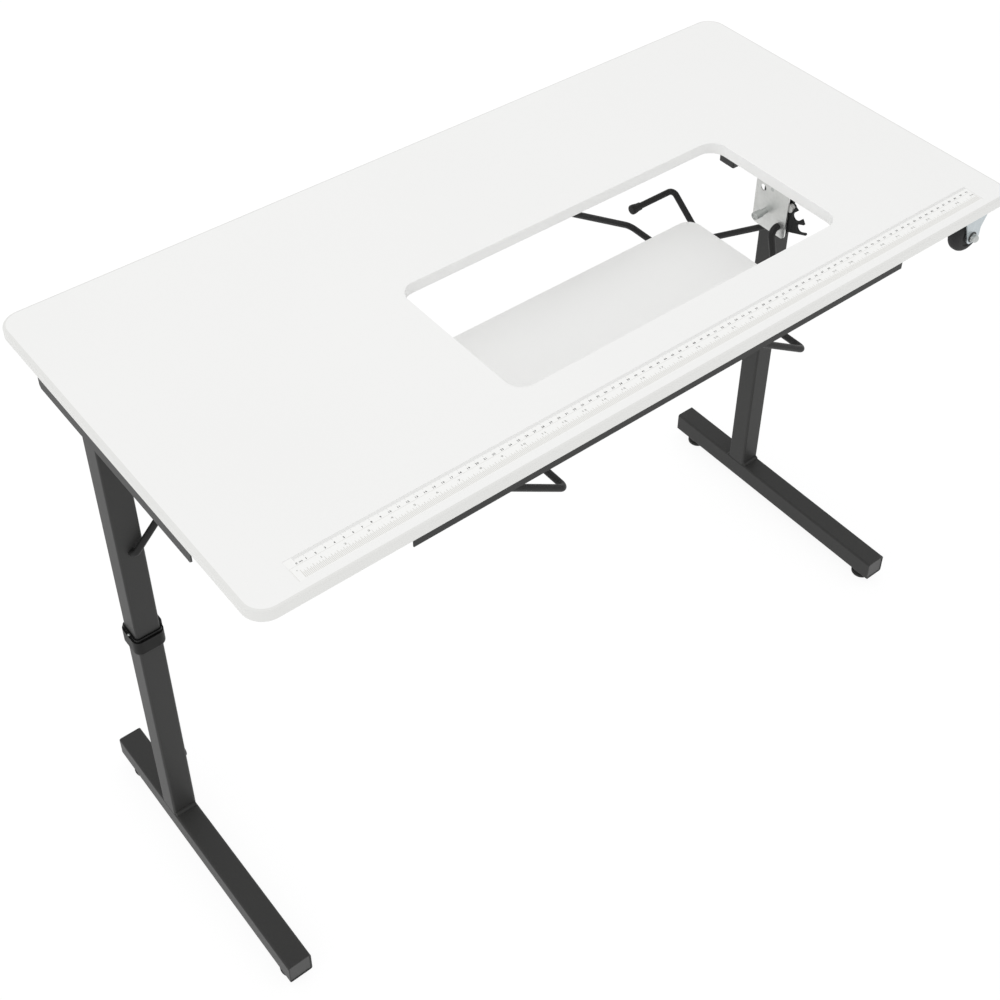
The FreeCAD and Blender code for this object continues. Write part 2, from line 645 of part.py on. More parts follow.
def leg(side):
    x = SIDES[side] * post_x
    pin_z = hinge_heights[side]
    foot_top = g.pad_height + g.tube_side
    post = square_tube(g.tube_side, g.tube_wall, g.tube_corner, pin_z + g.post_overrun - foot_top,
                       Vector(x, post_y, foot_top), Z_AXIS)
    pin_bore = disc(g.hinge_pin_radius + g.running_gap, 2 * g.tube_side,
                    Vector(x, post_y - g.tube_side, pin_z), Y_AXIS)
    stub_bore = disc(g.brace_rod_radius + g.running_gap, 2 * g.tube_wall,
                     Vector(x, post_front - g.tube_wall / 2, brace_pivots[side]), Y_AXIS)
    node(raw(post.cut(pin_bore).cut(stub_bore)), side + "_post")
    foot(side, x)
    collar(side, x)
    bumper = disc(g.bumper_radius, g.bumper_proud,
                  Vector(x + g.tube_side / 2, post_y, g.bumper_height), X_AXIS)
    node(raw(bumper), side + "_post_bumper")


def brace(side):
    """Bent rod from the post's front face to the keeper, with a sleeve on its upper end."""
    tip_y = brace_y - g.brace_tip_reach
    top_x = brace_tops[side]
    pivot_z = brace_pivots[side]
    points = [
        Vector(post_x, post_front + g.brace_stub_depth, pivot_z),
        Vector(post_x, brace_y, pivot_z),
        Vector(top_x, brace_y, brace_top_z),
        Vector(top_x, tip_y, brace_top_z),
    ]
    node(raw(mirrored(bent_rod(points, g.brace_rod_radius, [g.brace_bend] * 2), side)), side + "_brace")
    roller = disc(g.roller_radius, g.roller_width, points[-1], Y_AXIS)
    roller = roller.cut(disc(g.brace_rod_radius, g.roller_width, points[-1], Y_AXIS))
    node(raw(mirrored(roller, side)), side + "_brace_roller")


for side in SIDES:
    leg(side)
    brace(side)


# ---- Swing rods and their brackets -------------------------------------------------------------

def swing_rod(side):
    pivot_x = swing_pivots[side]
    low_x = pivot_x + swing_reach
    points = [
        Vector(pivot_x, swing_front_y - g.swing_stub, swing_pivot_z),
        Vector(pivot_x, swing_front_y, swing_pivot_z),
        Vector(low_x, swing_front_y, hang_z),
        Vector(low_x, swing_back_y, hang_z),
        Vector(pivot_x, swing_back_y, swing_pivot_z),
        Vector(pivot_x, swing_back_y + g.swing_back_stub, swing_pivot_z),
    ]
    bends = [g.swing_end_bend, g.swing_bend, g.swing_bend, g.swing_end_bend]
    node(raw(bent_rod(points, g.swing_rod_radius, bends)), "swing_rod_" + side)


def rear_pivot_bracket(pivot_x):
    """Angle bracket that carries the back end of a swing rod, and its screw."""
    y = swing_back_y + g.pivot_plate_setback
    near = pivot_x - g.pivot_plate_half
    far = pivot_x + g.pivot_plate_half
    low = board_under - g.pivot_plate_drop
    upright = flat_y([(near, board_under), (far, board_under),
                      (far, low, g.pivot_plate_corner), (near, low, g.pivot_plate_corner)],
                     y, g.pivot_plate_thick)
    flange = Part.makeBox(far - near, g.pivot_plate_thick + g.pivot_flange, g.pivot_plate_thick,
                          Vector(near, y, board_under - g.pivot_plate_thick))
    bore = disc(g.swing_rod_radius + g.running_gap, 2 * g.pivot_plate_thick,
                Vector(pivot_x, y - g.pivot_plate_thick / 2, swing_pivot_z), Y_AXIS)
    screw_y = y + g.pivot_plate_thick + g.pivot_flange / 2
    bracket = upright.fuse(flange).cut(bore).cut(screw_hole(pivot_x, screw_y, board_under))
    return bracket, screw(pivot_x, screw_y, g.pivot_plate_thick)


for side in SIDES:
    swing_rod(side)
pivot_brackets, bracket_screws = zip(*(rear_pivot_bracket(x) for x in swing_pivots.values()))
node(raw(Part.makeCompound(pivot_brackets)), "rear_pivot_brackets")
bracket_screws = list(bracket_screws)


# ---- Platform ----------------------------------------------------------------------------------

PLATFORM_OUTER = (platform_length, platform_depth, platform_corner, 0, cutout_y)
PLATFORM_INNER = (platform_length - 2 * g.platform_edging_thick, platform_depth - 2 * g.platform_edging_thick,
                  platform_corner - g.platform_edging_thick, 0, cutout_y)
plate("platform", [PLATFORM_INNER], g.platform_thick, platform_x, 0, platform_under)
platform_edging, platform_pad = plate("platform_edge_band", [PLATFORM_OUTER, PLATFORM_INNER],
                                      g.platform_thick, platform_x, 0, platform_under)
round_edges(platform_edging, platform_pad, g.platform_edging_round, PLATFORM_OUTER)


def rod_clip(rod_x, y, gap):
    """Saddle round a swing rod, with an ear each side."""
    half = g.clip_half_length
    ear = half + g.clip_ear
    ear_z = platform_under - g.clip_ear_thick
    low = hang_z - g.swing_rod_radius - g.clip_floor
    clip = flat_y([
        (rod_x - ear, platform_under), (rod_x + ear, platform_under), (rod_x + ear, ear_z), (rod_x + half, ear_z),
        (rod_x + half, low, g.clip_corner), (rod_x - half, low, g.clip_corner),
        (rod_x - half, ear_z), (rod_x - ear, ear_z),
    ], y, g.clip_width)
    return clip.cut(disc(g.swing_rod_radius + gap, g.clip_width, Vector(rod_x, y, hang_z), Y_AXIS))


clips = []
clip_screws = []
for side, gap in (("right", g.running_gap), ("left", g.open_pivot_gap)):
    rod_x = swing_pivots[side] + swing_reach
    for direction in (-1, 1):
        middle = cutout_y + direction * g.clip_spread
        clips.append(rod_clip(rod_x, middle - g.clip_width / 2, gap))
        for offset in (-1, 1):
            start = Vector(rod_x + offset * (g.clip_half_length + g.clip_ear / 2), middle,
                           platform_under - g.clip_ear_thick - g.clip_screw_height)
            clip_screws.append(disc(g.clip_screw_radius, g.clip_screw_height, start, Z_AXIS))
node(raw(Part.makeCompound(clips)), "platform_rod_clips")
node(raw(Part.makeCompound(clip_screws)), "clip_screws")


# ---- Selector bracket and stud -----------------------------------------------------------------

selector_front = shaft_y - g.selector_front_reach
selector_back = shaft_y + g.selector_back_reach
selector_bottom = shaft_z - g.selector_foot
pawl_pivot = Vector(selector_x, shaft_y + g.pawl_pivot_shift, shaft_z + g.pawl_pivot_rise)
stud_centre = Vector(selector_x, shaft_y + g.stud_shift, shaft_z + g.stud_rise)
shaft_centre = Vector(selector_x, shaft_y, shaft_z)
selector_hole = Vector(selector_x, shaft_y + g.selector_hole_shift, shaft_z + g.selector_hole_rise)

bracket = flat_x([
    (selector_front, board_under), (selector_back, board_under),
    (selector_back, selector_bottom, g.selector_corner), (selector_front, selector_bottom, g.selector_corner),
], selector_x, g.selector_thick)
flange = Part.makeBox(g.selector_flange, selector_back - selector_front, g.selector_thick,
                      Vector(selector_x, selector_front, board_under - g.selector_thick))
bracket = bracket.fuse(flange)
for centre, radius in (
    (selector_hole, g.selector_hole_radius), (shaft_centre, g.shaft_radius + g.shaft_gap),
    (stud_centre, g.stud_bore), (pawl_pivot, g.pawl_pin_radius),
):
    bracket = bracket.cut(disc(radius, g.selector_thick, centre, X_AXIS))
selector_screw_x = selector_x + g.selector_flange - g.selector_screw_inset
for y in (selector_back - 2 * g.screw_head_radius, pawl_pivot.y + 2 * g.screw_head_radius):
    bracket = bracket.cut(screw_hole(selector_screw_x, y, board_under))
    bracket_screws.append(screw(selector_screw_x, y, g.selector_thick))
node(raw(bracket), "selector_bracket")
node(raw(Part.makeCompound(bracket_screws)), "bracket_screws")

stud_start = stud_centre - X_AXIS * g.stud_reach
stud = disc(g.stud_radius, g.stud_reach, stud_start, X_AXIS)
stud_sleeve = disc(g.stud_sleeve_radius, g.stud_sleeve_length, stud_start, X_AXIS)
stud = stud.fuse(stud_sleeve).cut(disc(g.stud_bore, g.stud_reach, stud_start, X_AXIS))
stud = stud.cut(disc(g.stud_recess_radius, g.stud_recess_depth, stud_start, X_AXIS))
node(raw(stud), "selector_stud")


# ---- Notched plate and pawl --------------------------------------------------------------------

sector_x = selector_x + g.selector_thick + g.sector_standoff
pawl_x = sector_x + g.sector_thick + g.pawl_gap


def polar(radius, degrees, x):
    """Point at the given distance and angle (from +Y to +Z) round the lever's shaft."""
    angle = math.radians(degrees)
    return Vector(x, shaft_y + radius * math.cos(angle), shaft_z + radius * math.sin(angle))


def notched_plate():
    start = polar(g.sector_radius, g.sector_start, sector_x)
    end = polar(g.sector_radius, g.sector_end, sector_x)
    middle = polar(g.sector_radius, (g.sector_start + g.sector_end) / 2, sector_x)
    root = polar(g.sector_hub_radius, g.sector_root, sector_x)
    centre = Vector(sector_x, shaft_y, shaft_z)
    wire = Part.Wire([
        Part.Arc(start, middle, end).toShape(),
        Part.LineSegment(end, root).toShape(),
        Part.LineSegment(root, centre).toShape(),
        Part.LineSegment(centre, start).toShape(),
    ])
    shape = Part.Face(wire).extrude(X_AXIS * g.sector_thick)
    shape = shape.fuse(disc(g.sector_hub_radius, g.sector_thick, centre, X_AXIS))
    spacer_start = centre - X_AXIS * g.sector_standoff
    shape = shape.fuse(disc(g.sector_spacer_radius, g.sector_standoff, spacer_start, X_AXIS))
    for degrees in (g.notch_first, g.notch_second, g.notch_third):
        seat = polar(g.notch_centre_radius, degrees, sector_x)
        mouth = Part.makeBox(g.sector_thick, g.sector_radius, 2 * g.notch_half_width,
                             Vector(0, 0, -g.notch_half_width))
        mouth.Placement = Placement(seat, Rotation(X_AXIS, degrees))
        shape = shape.cut(disc(g.notch_half_width, g.sector_thick, seat, X_AXIS)).cut(mouth)
    bore = disc(g.shaft_radius + g.shaft_gap, g.sector_thick + g.sector_standoff, spacer_start, X_AXIS)
    node(raw(shape.cut(bore).removeSplitter()), "notched_plate")


def pawl():
    """Arm on a pin above the notched plate, whose roller rests in the first notch."""
    seat = polar(g.notch_centre_radius, g.notch_first, pawl_x)
    pivot = Vector(pawl_x, pawl_pivot.y, pawl_pivot.z)
    end_y = shaft_y - g.pawl_end_shift
    arm = flat_x([
        (end_y, shaft_z + g.pawl_top_rise, g.pawl_corner), (pivot.y, pivot.z + g.pawl_eye_radius / 2),
        (pivot.y, pivot.z - g.pawl_eye_radius),
        (seat.y + g.pawl_roller_radius, seat.z - g.pawl_roller_radius / 2), (end_y, seat.z),
    ], pawl_x, g.pawl_thick)
    arm = arm.fuse(disc(g.pawl_eye_radius, g.pawl_thick, pivot, X_AXIS))
    arm = arm.fuse(disc(g.pawl_roller_radius, g.pawl_thick, seat, X_AXIS))
    arm = arm.cut(disc(g.pawl_pin_radius + g.running_gap, g.pawl_thick, pivot, X_AXIS))
    node(raw(arm.removeSplitter()), "pawl_arm")

    roller_start = Vector(sector_x - g.roller_standout, seat.y, seat.z)
    node(raw(disc(g.pawl_roller_radius, pawl_x - roller_start.x, roller_start, X_AXIS)), "pawl_roller")

    pin_length = pawl_x + g.pawl_thick + g.pawl_pin_play - selector_x
    pin = disc(g.pawl_pin_radius, pin_length, pawl_pivot, X_AXIS)
    head = disc(g.pawl_pin_head_radius, g.pawl_pin_head, pawl_pivot + X_AXIS * pin_length, X_AXIS)
    node(raw(pin.fuse(head)), "pawl_pin")


notched_plate()
pawl()


# ---- Release lever -----------------------------------------------------------------------------

lean = math.radians(g.crank_lean)
crank_top = Vector(selector_x - g.crank_setback, shaft_y, shaft_z)
crank_end = crank_top + Vector(0, -math.sin(lean), -math.cos(lean)) * g.crank_length
shaft_end = Vector(selector_x + g.lever_shaft_reach, shaft_y, shaft_z)
low_bend = Vector(selector_x - g.lever_setback, shaft_y + g.lever_low_shift, shaft_z - g.lever_low_drop)
top_bend = Vector(low_bend.x, shaft_y + g.lever_top_shift, shaft_z - g.lever_top_drop)
tip = Vector(selector_x - g.lever_tip_reach, top_bend.y, top_bend.z)
crank = bent_rod([crank_end, crank_top, shaft_end], g.shaft_radius, [g.crank_bend])
handle = bent_rod([shaft_end, low_bend, top_bend, tip], g.lever_radius, [g.lever_bend] * 2)
node(raw(crank.fuse(handle).fuse(Part.makeSphere(g.shaft_radius, shaft_end))), "lift_lever")

grip_start = tip - X_AXIS * g.grip_wall
grip = disc(g.grip_radius, g.grip_length, grip_start, X_AXIS)
front_rim = [edge for edge in grip.Edges if abs(edge.BoundBox.XMax - grip_start.x) < TOUCH]
grip = grip.makeFillet(g.grip_round, front_rim)
node(raw(grip.cut(disc(g.lever_radius, g.grip_length, tip, X_AXIS))), "lever_grip")


# ---- Stop tabs ---------------------------------------------------------------------------------

def stop_tab(near):
    """Flat block under the board beside an end of the cut-out."""
    far = near + g.tab_width
    front = cutout_y + g.tab_shift
    back = front + g.tab_length
    corners = [(near, front, g.tab_corner), (far, front, g.tab_corner),
               (far, back, g.tab_corner), (near, back, g.tab_corner)]
    return flat_z(corners, board_under - g.tab_thick, g.tab_thick)


tabs = [stop_tab(cutout_right + g.tab_inset), stop_tab(cutout_left - g.tab_inset - g.tab_width)]
node(raw(Part.makeCompound(tabs)), "stop_tabs")


# ---- Casters -----------------------------------------------------------------------------------

caster_x = half_length - g.caster_end_inset
axle_z = board_under - g.axle_drop
fork_inner = g.wheel_width / 2 + g.fork_side_gap
fork_outer = fork_inner + g.fork_wall
caster_screws = []


def caster_fork(name, centre):
    x = centre.x
    fork = Part.makeBox(2 * g.fork_plate_reach, 2 * fork_outer, g.fork_wall,
                        Vector(x - g.fork_plate_reach, centre.y - fork_outer, board_under - g.fork_wall))
    cheek = [
        (x - g.fork_top_front, board_under), (x + g.fork_top_back, board_under),
        (x + g.fork_waist_back, board_under - g.fork_waist), (x + g.fork_end_back, axle_z + g.fork_neck_rise),
        (x + g.fork_end_back, axle_z - g.fork_end_radius, g.fork_end_round),
        (x - g.fork_end_radius, axle_z - g.fork_end_radius, g.fork_end_round),
        (x - g.fork_end_radius, axle_z), (x - g.fork_waist_front, board_under - g.fork_waist),
    ]
    for y in (centre.y - fork_outer, centre.y + fork_inner):
        fork = fork.fuse(flat_y(cheek, y, g.fork_wall))
    fork = fork.cut(disc(g.axle_radius, 2 * fork_outer, centre - Y_AXIS * fork_outer, Y_AXIS))
    for side_x in (-1, 1):
        for side_y in (-1, 1):
            screw_x = x + side_x * g.caster_screw_x
            screw_y = centre.y + side_y * g.caster_screw_y
            fork = fork.cut(screw_hole(screw_x, screw_y, board_under))
            caster_screws.append(screw(screw_x, screw_y, g.fork_wall))
    node(raw(fork.removeSplitter()), name + "_caster_fork")


def caster_axle(name, centre):
    """Axle with a domed nut on its front end and a flat head on the other."""
    start = centre - Y_AXIS * fork_outer
    axle = disc(g.axle_radius, 2 * fork_outer, start, Y_AXIS)
    nut_start = start - Y_AXIS * g.axle_nut_height
    nut = disc(g.axle_nut_radius, g.axle_nut_height, nut_start, Y_AXIS)
    rim = [edge for edge in nut.Edges if abs(edge.BoundBox.YMax - nut_start.y) < TOUCH]
    nut = nut.makeFillet(g.axle_nut_round, rim)
    head = disc(g.axle_nut_radius, g.axle_head_height, centre + Y_AXIS * fork_outer, Y_AXIS)
    node(raw(axle.fuse(nut).fuse(head)), name + "_caster_axle")


def caster_wheel(name, centre):
    start = centre - Y_AXIS * (g.wheel_width / 2)
    wheel = disc(g.wheel_radius, g.wheel_width, start, Y_AXIS)
    rims = [edge for edge in wheel.Edges if edge.BoundBox.YLength < TOUCH]
    wheel = wheel.makeFillet(g.wheel_edge, rims)
    hub_start = start - Y_AXIS * g.wheel_hub_proud
    hub_length = g.wheel_width + 2 * g.wheel_hub_proud
    wheel = wheel.fuse(disc(g.wheel_hub_radius, hub_length, hub_start, Y_AXIS))
    wheel = wheel.cut(disc(g.axle_radius + g.wheel_gap, hub_length, hub_start, Y_AXIS))
    node(raw(wheel), name + "_caster_wheel")


for name, facing in (("front", -1), ("rear", 1)):
    axle_centre = Vector(caster_x, facing * (half_depth - g.caster_edge_inset), axle_z)
    caster_fork(name, axle_centre)
    caster_axle(name, axle_centre)
    caster_wheel(name, axle_centre)
node(raw(Part.makeCompound(caster_screws)), "caster_screws")


# ---- Checks and export -------------------------------------------------------------------------

doc.recompute()
for obj in doc.Objects:
    if "Invalid" in obj.State or "Error" in obj.State:
        raise RuntimeError("%s is in state %s" % (obj.Label, obj.State))
os.makedirs("parts", exist_ok=True)
for obj in NODES:
    shape = obj.Shape
    if shape.isNull() or not shape.isValid() or not shape.Solids:
        raise RuntimeError("%s has no valid solid" % obj.Label)
    shape.exportStep("parts/%s.step" % obj.Label)
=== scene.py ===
import math

import bpy
from mathutils import Matrix, Vector


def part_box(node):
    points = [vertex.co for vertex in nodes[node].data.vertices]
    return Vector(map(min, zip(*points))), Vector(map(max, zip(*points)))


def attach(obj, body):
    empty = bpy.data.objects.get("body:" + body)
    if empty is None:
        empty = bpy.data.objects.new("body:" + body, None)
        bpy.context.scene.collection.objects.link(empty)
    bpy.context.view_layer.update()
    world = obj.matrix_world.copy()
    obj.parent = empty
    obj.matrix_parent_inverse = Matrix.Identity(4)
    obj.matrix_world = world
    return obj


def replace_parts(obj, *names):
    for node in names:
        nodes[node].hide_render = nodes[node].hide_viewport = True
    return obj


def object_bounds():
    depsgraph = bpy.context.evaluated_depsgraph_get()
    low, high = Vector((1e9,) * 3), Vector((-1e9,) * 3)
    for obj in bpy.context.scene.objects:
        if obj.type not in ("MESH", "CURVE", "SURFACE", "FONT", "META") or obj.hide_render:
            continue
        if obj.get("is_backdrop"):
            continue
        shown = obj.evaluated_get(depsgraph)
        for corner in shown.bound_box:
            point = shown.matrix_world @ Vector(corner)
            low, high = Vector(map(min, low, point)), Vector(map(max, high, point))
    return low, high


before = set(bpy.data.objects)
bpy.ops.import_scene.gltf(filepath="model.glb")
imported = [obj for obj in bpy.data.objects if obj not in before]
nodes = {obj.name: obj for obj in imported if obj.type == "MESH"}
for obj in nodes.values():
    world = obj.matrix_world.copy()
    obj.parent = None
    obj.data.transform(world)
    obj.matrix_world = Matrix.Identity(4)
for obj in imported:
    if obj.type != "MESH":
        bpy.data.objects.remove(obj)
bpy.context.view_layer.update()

# Folding sewing table. Metres; X runs along the length, Y to the back, Z up from the floor.
MM = 0.001
NEAR = 0.01 * MM


# ---- Finishes ----------------------------------------------------------------------------------

class Figure:
    """A number or a colour that comes out of a node and can be used in sums."""

    def __init__(self, wiring, socket):
        self.wiring = wiring
        self.socket = socket

    def __add__(self, other):
        return self.wiring.work("ADD", self, other)

    def __radd__(self, other):
        return self.wiring.work("ADD", other, self)

    def __sub__(self, other):
        return self.wiring.work("SUBTRACT", self, other)

    def __rsub__(self, other):
        return self.wiring.work("SUBTRACT", other, self)

    def __mul__(self, other):
        return self.wiring.work("MULTIPLY", self, other)

    def __rmul__(self, other):
        return self.wiring.work("MULTIPLY", other, self)

    def __gt__(self, other):
        return self.wiring.work("GREATER_THAN", self, other)

    def __lt__(self, other):
        return self.wiring.work("LESS_THAN", self, other)


class Wiring:
    """The nodes of one material or backdrop; every new node comes from one method."""

    def __init__(self, tree):
        self.tree = tree

    def node(self, kind, settings=None, **sockets):
        """Add a node: its settings first, then its sockets, by name or, as n0 and so on, by number."""
        made = self.tree.nodes.new(kind)
        for key, value in (settings or {}).items():
            setattr(made, key, value)
        for key, value in sockets.items():
            name = int(key[1:]) if key[0] == "n" and key[1:].isdigit() else key.replace("_", " ")
            self.feed(made.inputs[name], value)
        return {output.name: Figure(self, output) for output in made.outputs if output.enabled}

    def feed(self, socket, value):
        """Link a figure to a socket, or set the socket's value."""
        if isinstance(value, Figure):
            self.tree.links.new(value.socket, socket)
        else:
            socket.default_value = value

    def work(self, operation, first, second):
        """What one operation makes of two figures or numbers."""
        return self.node("ShaderNodeMath", {"operation": operation}, n0=first, n1=second)["Value"]

    def mixed(self, share, first, second):
        """First shader with a share of the second laid over it."""
        return self.node("ShaderNodeMixShader", n0=share, n1=first, n2=second)["Shader"]


class Finish(Wiring):
    """One material: a surface shader whose constants are set at once, and what varies over it."""

    def __init__(self, name, **constants):
        self.material = bpy.data.materials.new(name)
        self.material.use_nodes = True
        super().__init__(self.material.node_tree)
        self.shader = self.tree.nodes["Principled BSDF"]
        self.set(**constants)
        self.place = self.node("ShaderNodeTexCoord")["Object"]

    def noise(self, scale, detail, roughness=0.5, place=None):
        """Cloudy figure from 0 to 1."""
        return self.node("ShaderNodeTexNoise", Vector=place or self.place, Scale=scale,
                         Detail=detail, Roughness=roughness)["Fac"]

    def stretched(self, x, y, z):
        """The piece's own place with each direction scaled, for grain that runs one way."""
        return self.node("ShaderNodeMapping", Vector=self.place, Scale=(x, y, z))["Vector"]

    def blend(self, factor, first, second):
        """Colour that goes from first to second as the factor rises."""
        return self.node("ShaderNodeMix", {"data_type": "RGBA"}, n0=factor, n6=first, n7=second)["Result"]

    def between(self, figure, low, high):
        """Spread a 0 to 1 figure over another range."""
        return figure * (high - low) + low

    def relief(self, height, distance, strength):
        """Fine bumps of a given depth."""
        normal = self.node("ShaderNodeBump", Height=height, Distance=distance, Strength=strength)["Normal"]
        self.feed(self.shader.inputs["Normal"], normal)

    def set(self, **values):
        """Feed sockets of the surface shader."""
        for socket, value in values.items():
            self.feed(self.shader.inputs[socket.replace("_", " ")], value)


def linear(red, green, blue):
    """A screen colour from 0 to 255 as the amounts of light that a shader takes."""
    parts = []
    for level in (red, green, blue):
        share = level / 255
        parts.append(share / 12.92 if share <= 0.04045 else ((share + 0.055) / 1.055) ** 2.4)
    return (*parts, 1.0)


def white_laminate(name, dark, light):
    """Satin white melamine with a faint pearl texture."""
    finish = Finish(name, Specular_IOR_Level=0.35)
    cloud = finish.noise(3.0, 3.0)
    pearl = finish.noise(900.0, 2.0)
    finish.set(Base_Color=finish.blend(cloud * 0.6 + pearl * 0.4, dark, light),
               Roughness=finish.between(pearl, 0.42, 0.55))
    finish.relief(pearl, 0.00005, 0.5)
    return finish.material


def edge_banding(name, dark, light):
    """Smooth white edge band with a faint length-wise extrusion grain."""
    finish = Finish(name, Specular_IOR_Level=0.35)
    streaks = finish.noise(1.0, 3.0, place=finish.stretched(20, 20, 900))
    cloud = finish.noise(9.0, 2.0)
    finish.set(Base_Color=finish.blend(cloud * 0.7 + streaks * 0.3, dark, light),
               Roughness=finish.between(streaks, 0.35, 0.5))
    finish.relief(streaks, 0.00003, 0.4)
    return finish.material


def ruler_paper():
    """Matt white face of the ruler strip."""
    finish = Finish("ruler_paper", Specular_IOR_Level=0.25)
    fibres = finish.noise(1400.0, 2.0)
    finish.set(Base_Color=finish.blend(fibres, linear(242, 242, 240), linear(247, 247, 246)),
               Roughness=finish.between(fibres, 0.5, 0.62))
    finish.relief(fibres, 0.00002, 0.3)
    return finish.material


def printing_ink(name, dark, light):
    """Printed grey ink, a little uneven in its strength."""
    finish = Finish(name, Specular_IOR_Level=0.2)
    patches = finish.noise(2500.0, 2.0)
    finish.set(Base_Color=finish.blend(patches, dark, light), Roughness=finish.between(patches, 0.5, 0.7))
    return finish.material


def powder_coat(name, dark, light, peel=1.0):
    """Charcoal powder coat: fine orange peel, slow changes of tone, a few paler rubbed specks."""
    finish = Finish(name, Specular_IOR_Level=0.15)
    peel_height = finish.noise(750.0, 2.0, 0.55)
    slow = finish.noise(5.0, 3.0)
    specks = finish.noise(1600.0, 1.0) > 0.69
    tone = finish.blend(slow * 0.7 + peel_height * 0.3, dark, light)
    rubbed = [min(1.0, share * 1.35) for share in light[:3]] + [1.0]
    finish.set(Base_Color=finish.blend(specks * 0.5, tone, rubbed),
               Roughness=finish.between(slow * 0.4 + peel_height * 0.6, 0.36, 0.54))
    finish.relief(peel_height, 0.00012 * peel, 0.45)
    return finish.material


def zinc_plate(name, dark, light, brushed=False):
    """Clear zinc plating: small cloudy spangle, fine scratches, duller patches."""
    finish = Finish(name)
    spangle = finish.node("ShaderNodeTexVoronoi", {"feature": "SMOOTH_F1"}, Vector=finish.place,
                          Scale=220.0, Smoothness=0.6)["Distance"]
    cloud = finish.noise(60.0, 4.0, 0.6)
    scratches = finish.noise(1.0, 3.0, place=finish.stretched(60, 900, 900) if brushed
                             else finish.stretched(500, 500, 90))
    mottle = cloud * 0.6 + spangle * 0.25 + scratches * 0.15
    finish.set(Base_Color=finish.blend(mottle, dark, light),
               Metallic=finish.between(cloud, 0.86, 0.97),
               Roughness=finish.between(mottle, 0.26, 0.46))
    finish.relief(mottle, 0.00005, 0.4)
    return finish.material


def moulded_plastic(name, dark, light, low, high):
    """Moulded plastic with a fine spark-eroded grain."""
    finish = Finish(name, Specular_IOR_Level=0.5)
    grain = finish.noise(2200.0, 2.0)
    slow = finish.noise(25.0, 2.0)
    finish.set(Base_Color=finish.blend(slow * 0.6 + grain * 0.4, dark, light),
               Roughness=finish.between(grain * 0.6 + slow * 0.4, low, high))
    finish.relief(grain, 0.00005, 0.35)
    return finish.material


def rubber(name, dark, light):
    """Dull black rubber, dusty in places."""
    finish = Finish(name, Specular_IOR_Level=0.3)
    dust = finish.noise(90.0, 4.0, 0.65)
    grain = finish.noise(1800.0, 2.0)
    finish.set(Base_Color=finish.blend(dust * 0.8 + grain * 0.2, dark, light),
               Roughness=finish.between(dust, 0.55, 0.8))
    finish.relief(grain * 0.6 + dust * 0.4, 0.00008, 0.5)
    return finish.material


def collar_plastic(rim):
    """Black moulding whose ring, below the rim, is matt and a little greyer than the glossy neck."""
    finish = Finish("collar_moulding", Specular_IOR_Level=0.16)
    grain = finish.noise(2200.0, 2.0)
    ring = finish.node("ShaderNodeSeparateXYZ", Vector=finish.place)["Z"] < rim
    neck = finish.blend(grain, linear(14, 14, 14), linear(22, 22, 22))
    band = finish.blend(grain, linear(18, 18, 18), linear(25, 25, 24))
    finish.set(Base_Color=finish.blend(ring, neck, band),
               Roughness=finish.between(ring, 0.22, 0.45) + finish.between(grain, 0.0, 0.08))
    finish.relief(grain, 0.00005, 0.35)
    return finish.material


LAMINATE = white_laminate("white_laminate", linear(239, 239, 238), linear(244, 244, 243))
# Lighter copy of the table top's laminate for the platform: painted light, making up for the shade the
# platform gets below the board.
LIGHTENED_PLATFORM_LAMINATE = white_laminate("platform_laminate_painted_light", linear(242, 242, 241), linear(247, 247, 246))
BANDING = edge_banding("edge_banding", linear(225, 225, 223), linear(231, 231, 229))
# Lighter copy of the edge banding for the cut-out's lining and the platform's edge: painted light, making
# up for the shade inside the cut-out.
LIGHTENED_CUTOUT_BANDING = edge_banding("cutout_banding_painted_light", linear(240, 240, 239), linear(245, 245, 244))
PAPER = ruler_paper()
DARK_INK = printing_ink("dark_number_ink", linear(64, 64, 64), linear(92, 92, 92))
GREY_INK = printing_ink("grey_number_ink", linear(168, 168, 165), linear(190, 190, 187))
BAND_INK = printing_ink("grey_tick_ink", linear(208, 208, 207), linear(218, 218, 217))
BEIGE_INK = printing_ink("beige_tick_ink", linear(214, 213, 209), linear(224, 223, 219))
COAT = powder_coat("charcoal_powder_coat", linear(50, 50, 50), linear(59, 59, 58))
ROD_COAT = powder_coat("black_rod_coat", linear(36, 36, 36), linear(45, 45, 45), 0.7)
PLATE_BLACK = powder_coat("blackened_plate", linear(30, 31, 31), linear(44, 45, 45), 0.6)
ZINC = zinc_plate("zinc_plating", linear(200, 201, 199), linear(230, 231, 229))
BLUE_ZINC = zinc_plate("blue_zinc_plating", linear(176, 184, 187), linear(206, 213, 216))
ZINC_TURNED = zinc_plate("zinc_fastener", linear(160, 163, 162), linear(214, 217, 215), True)
BLACK_PLASTIC = moulded_plastic("black_moulding", linear(22, 22, 22), linear(38, 38, 37), 0.3, 0.46)
GREY_PLASTIC = moulded_plastic("grey_moulding", linear(36, 36, 36), linear(48, 48, 47), 0.36, 0.5)
PALE_PLASTIC = moulded_plastic("pale_moulding", linear(188, 188, 186), linear(204, 204, 202), 0.3, 0.42)
COLLAR_PLASTIC = collar_plastic(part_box("left_collar")[0].z + 20.4 * MM)
RUBBER = rubber("black_rubber", linear(22, 22, 22), linear(40, 40, 39))
TYRE = rubber("wheel_rubber", linear(24, 24, 25), linear(48, 48, 48))

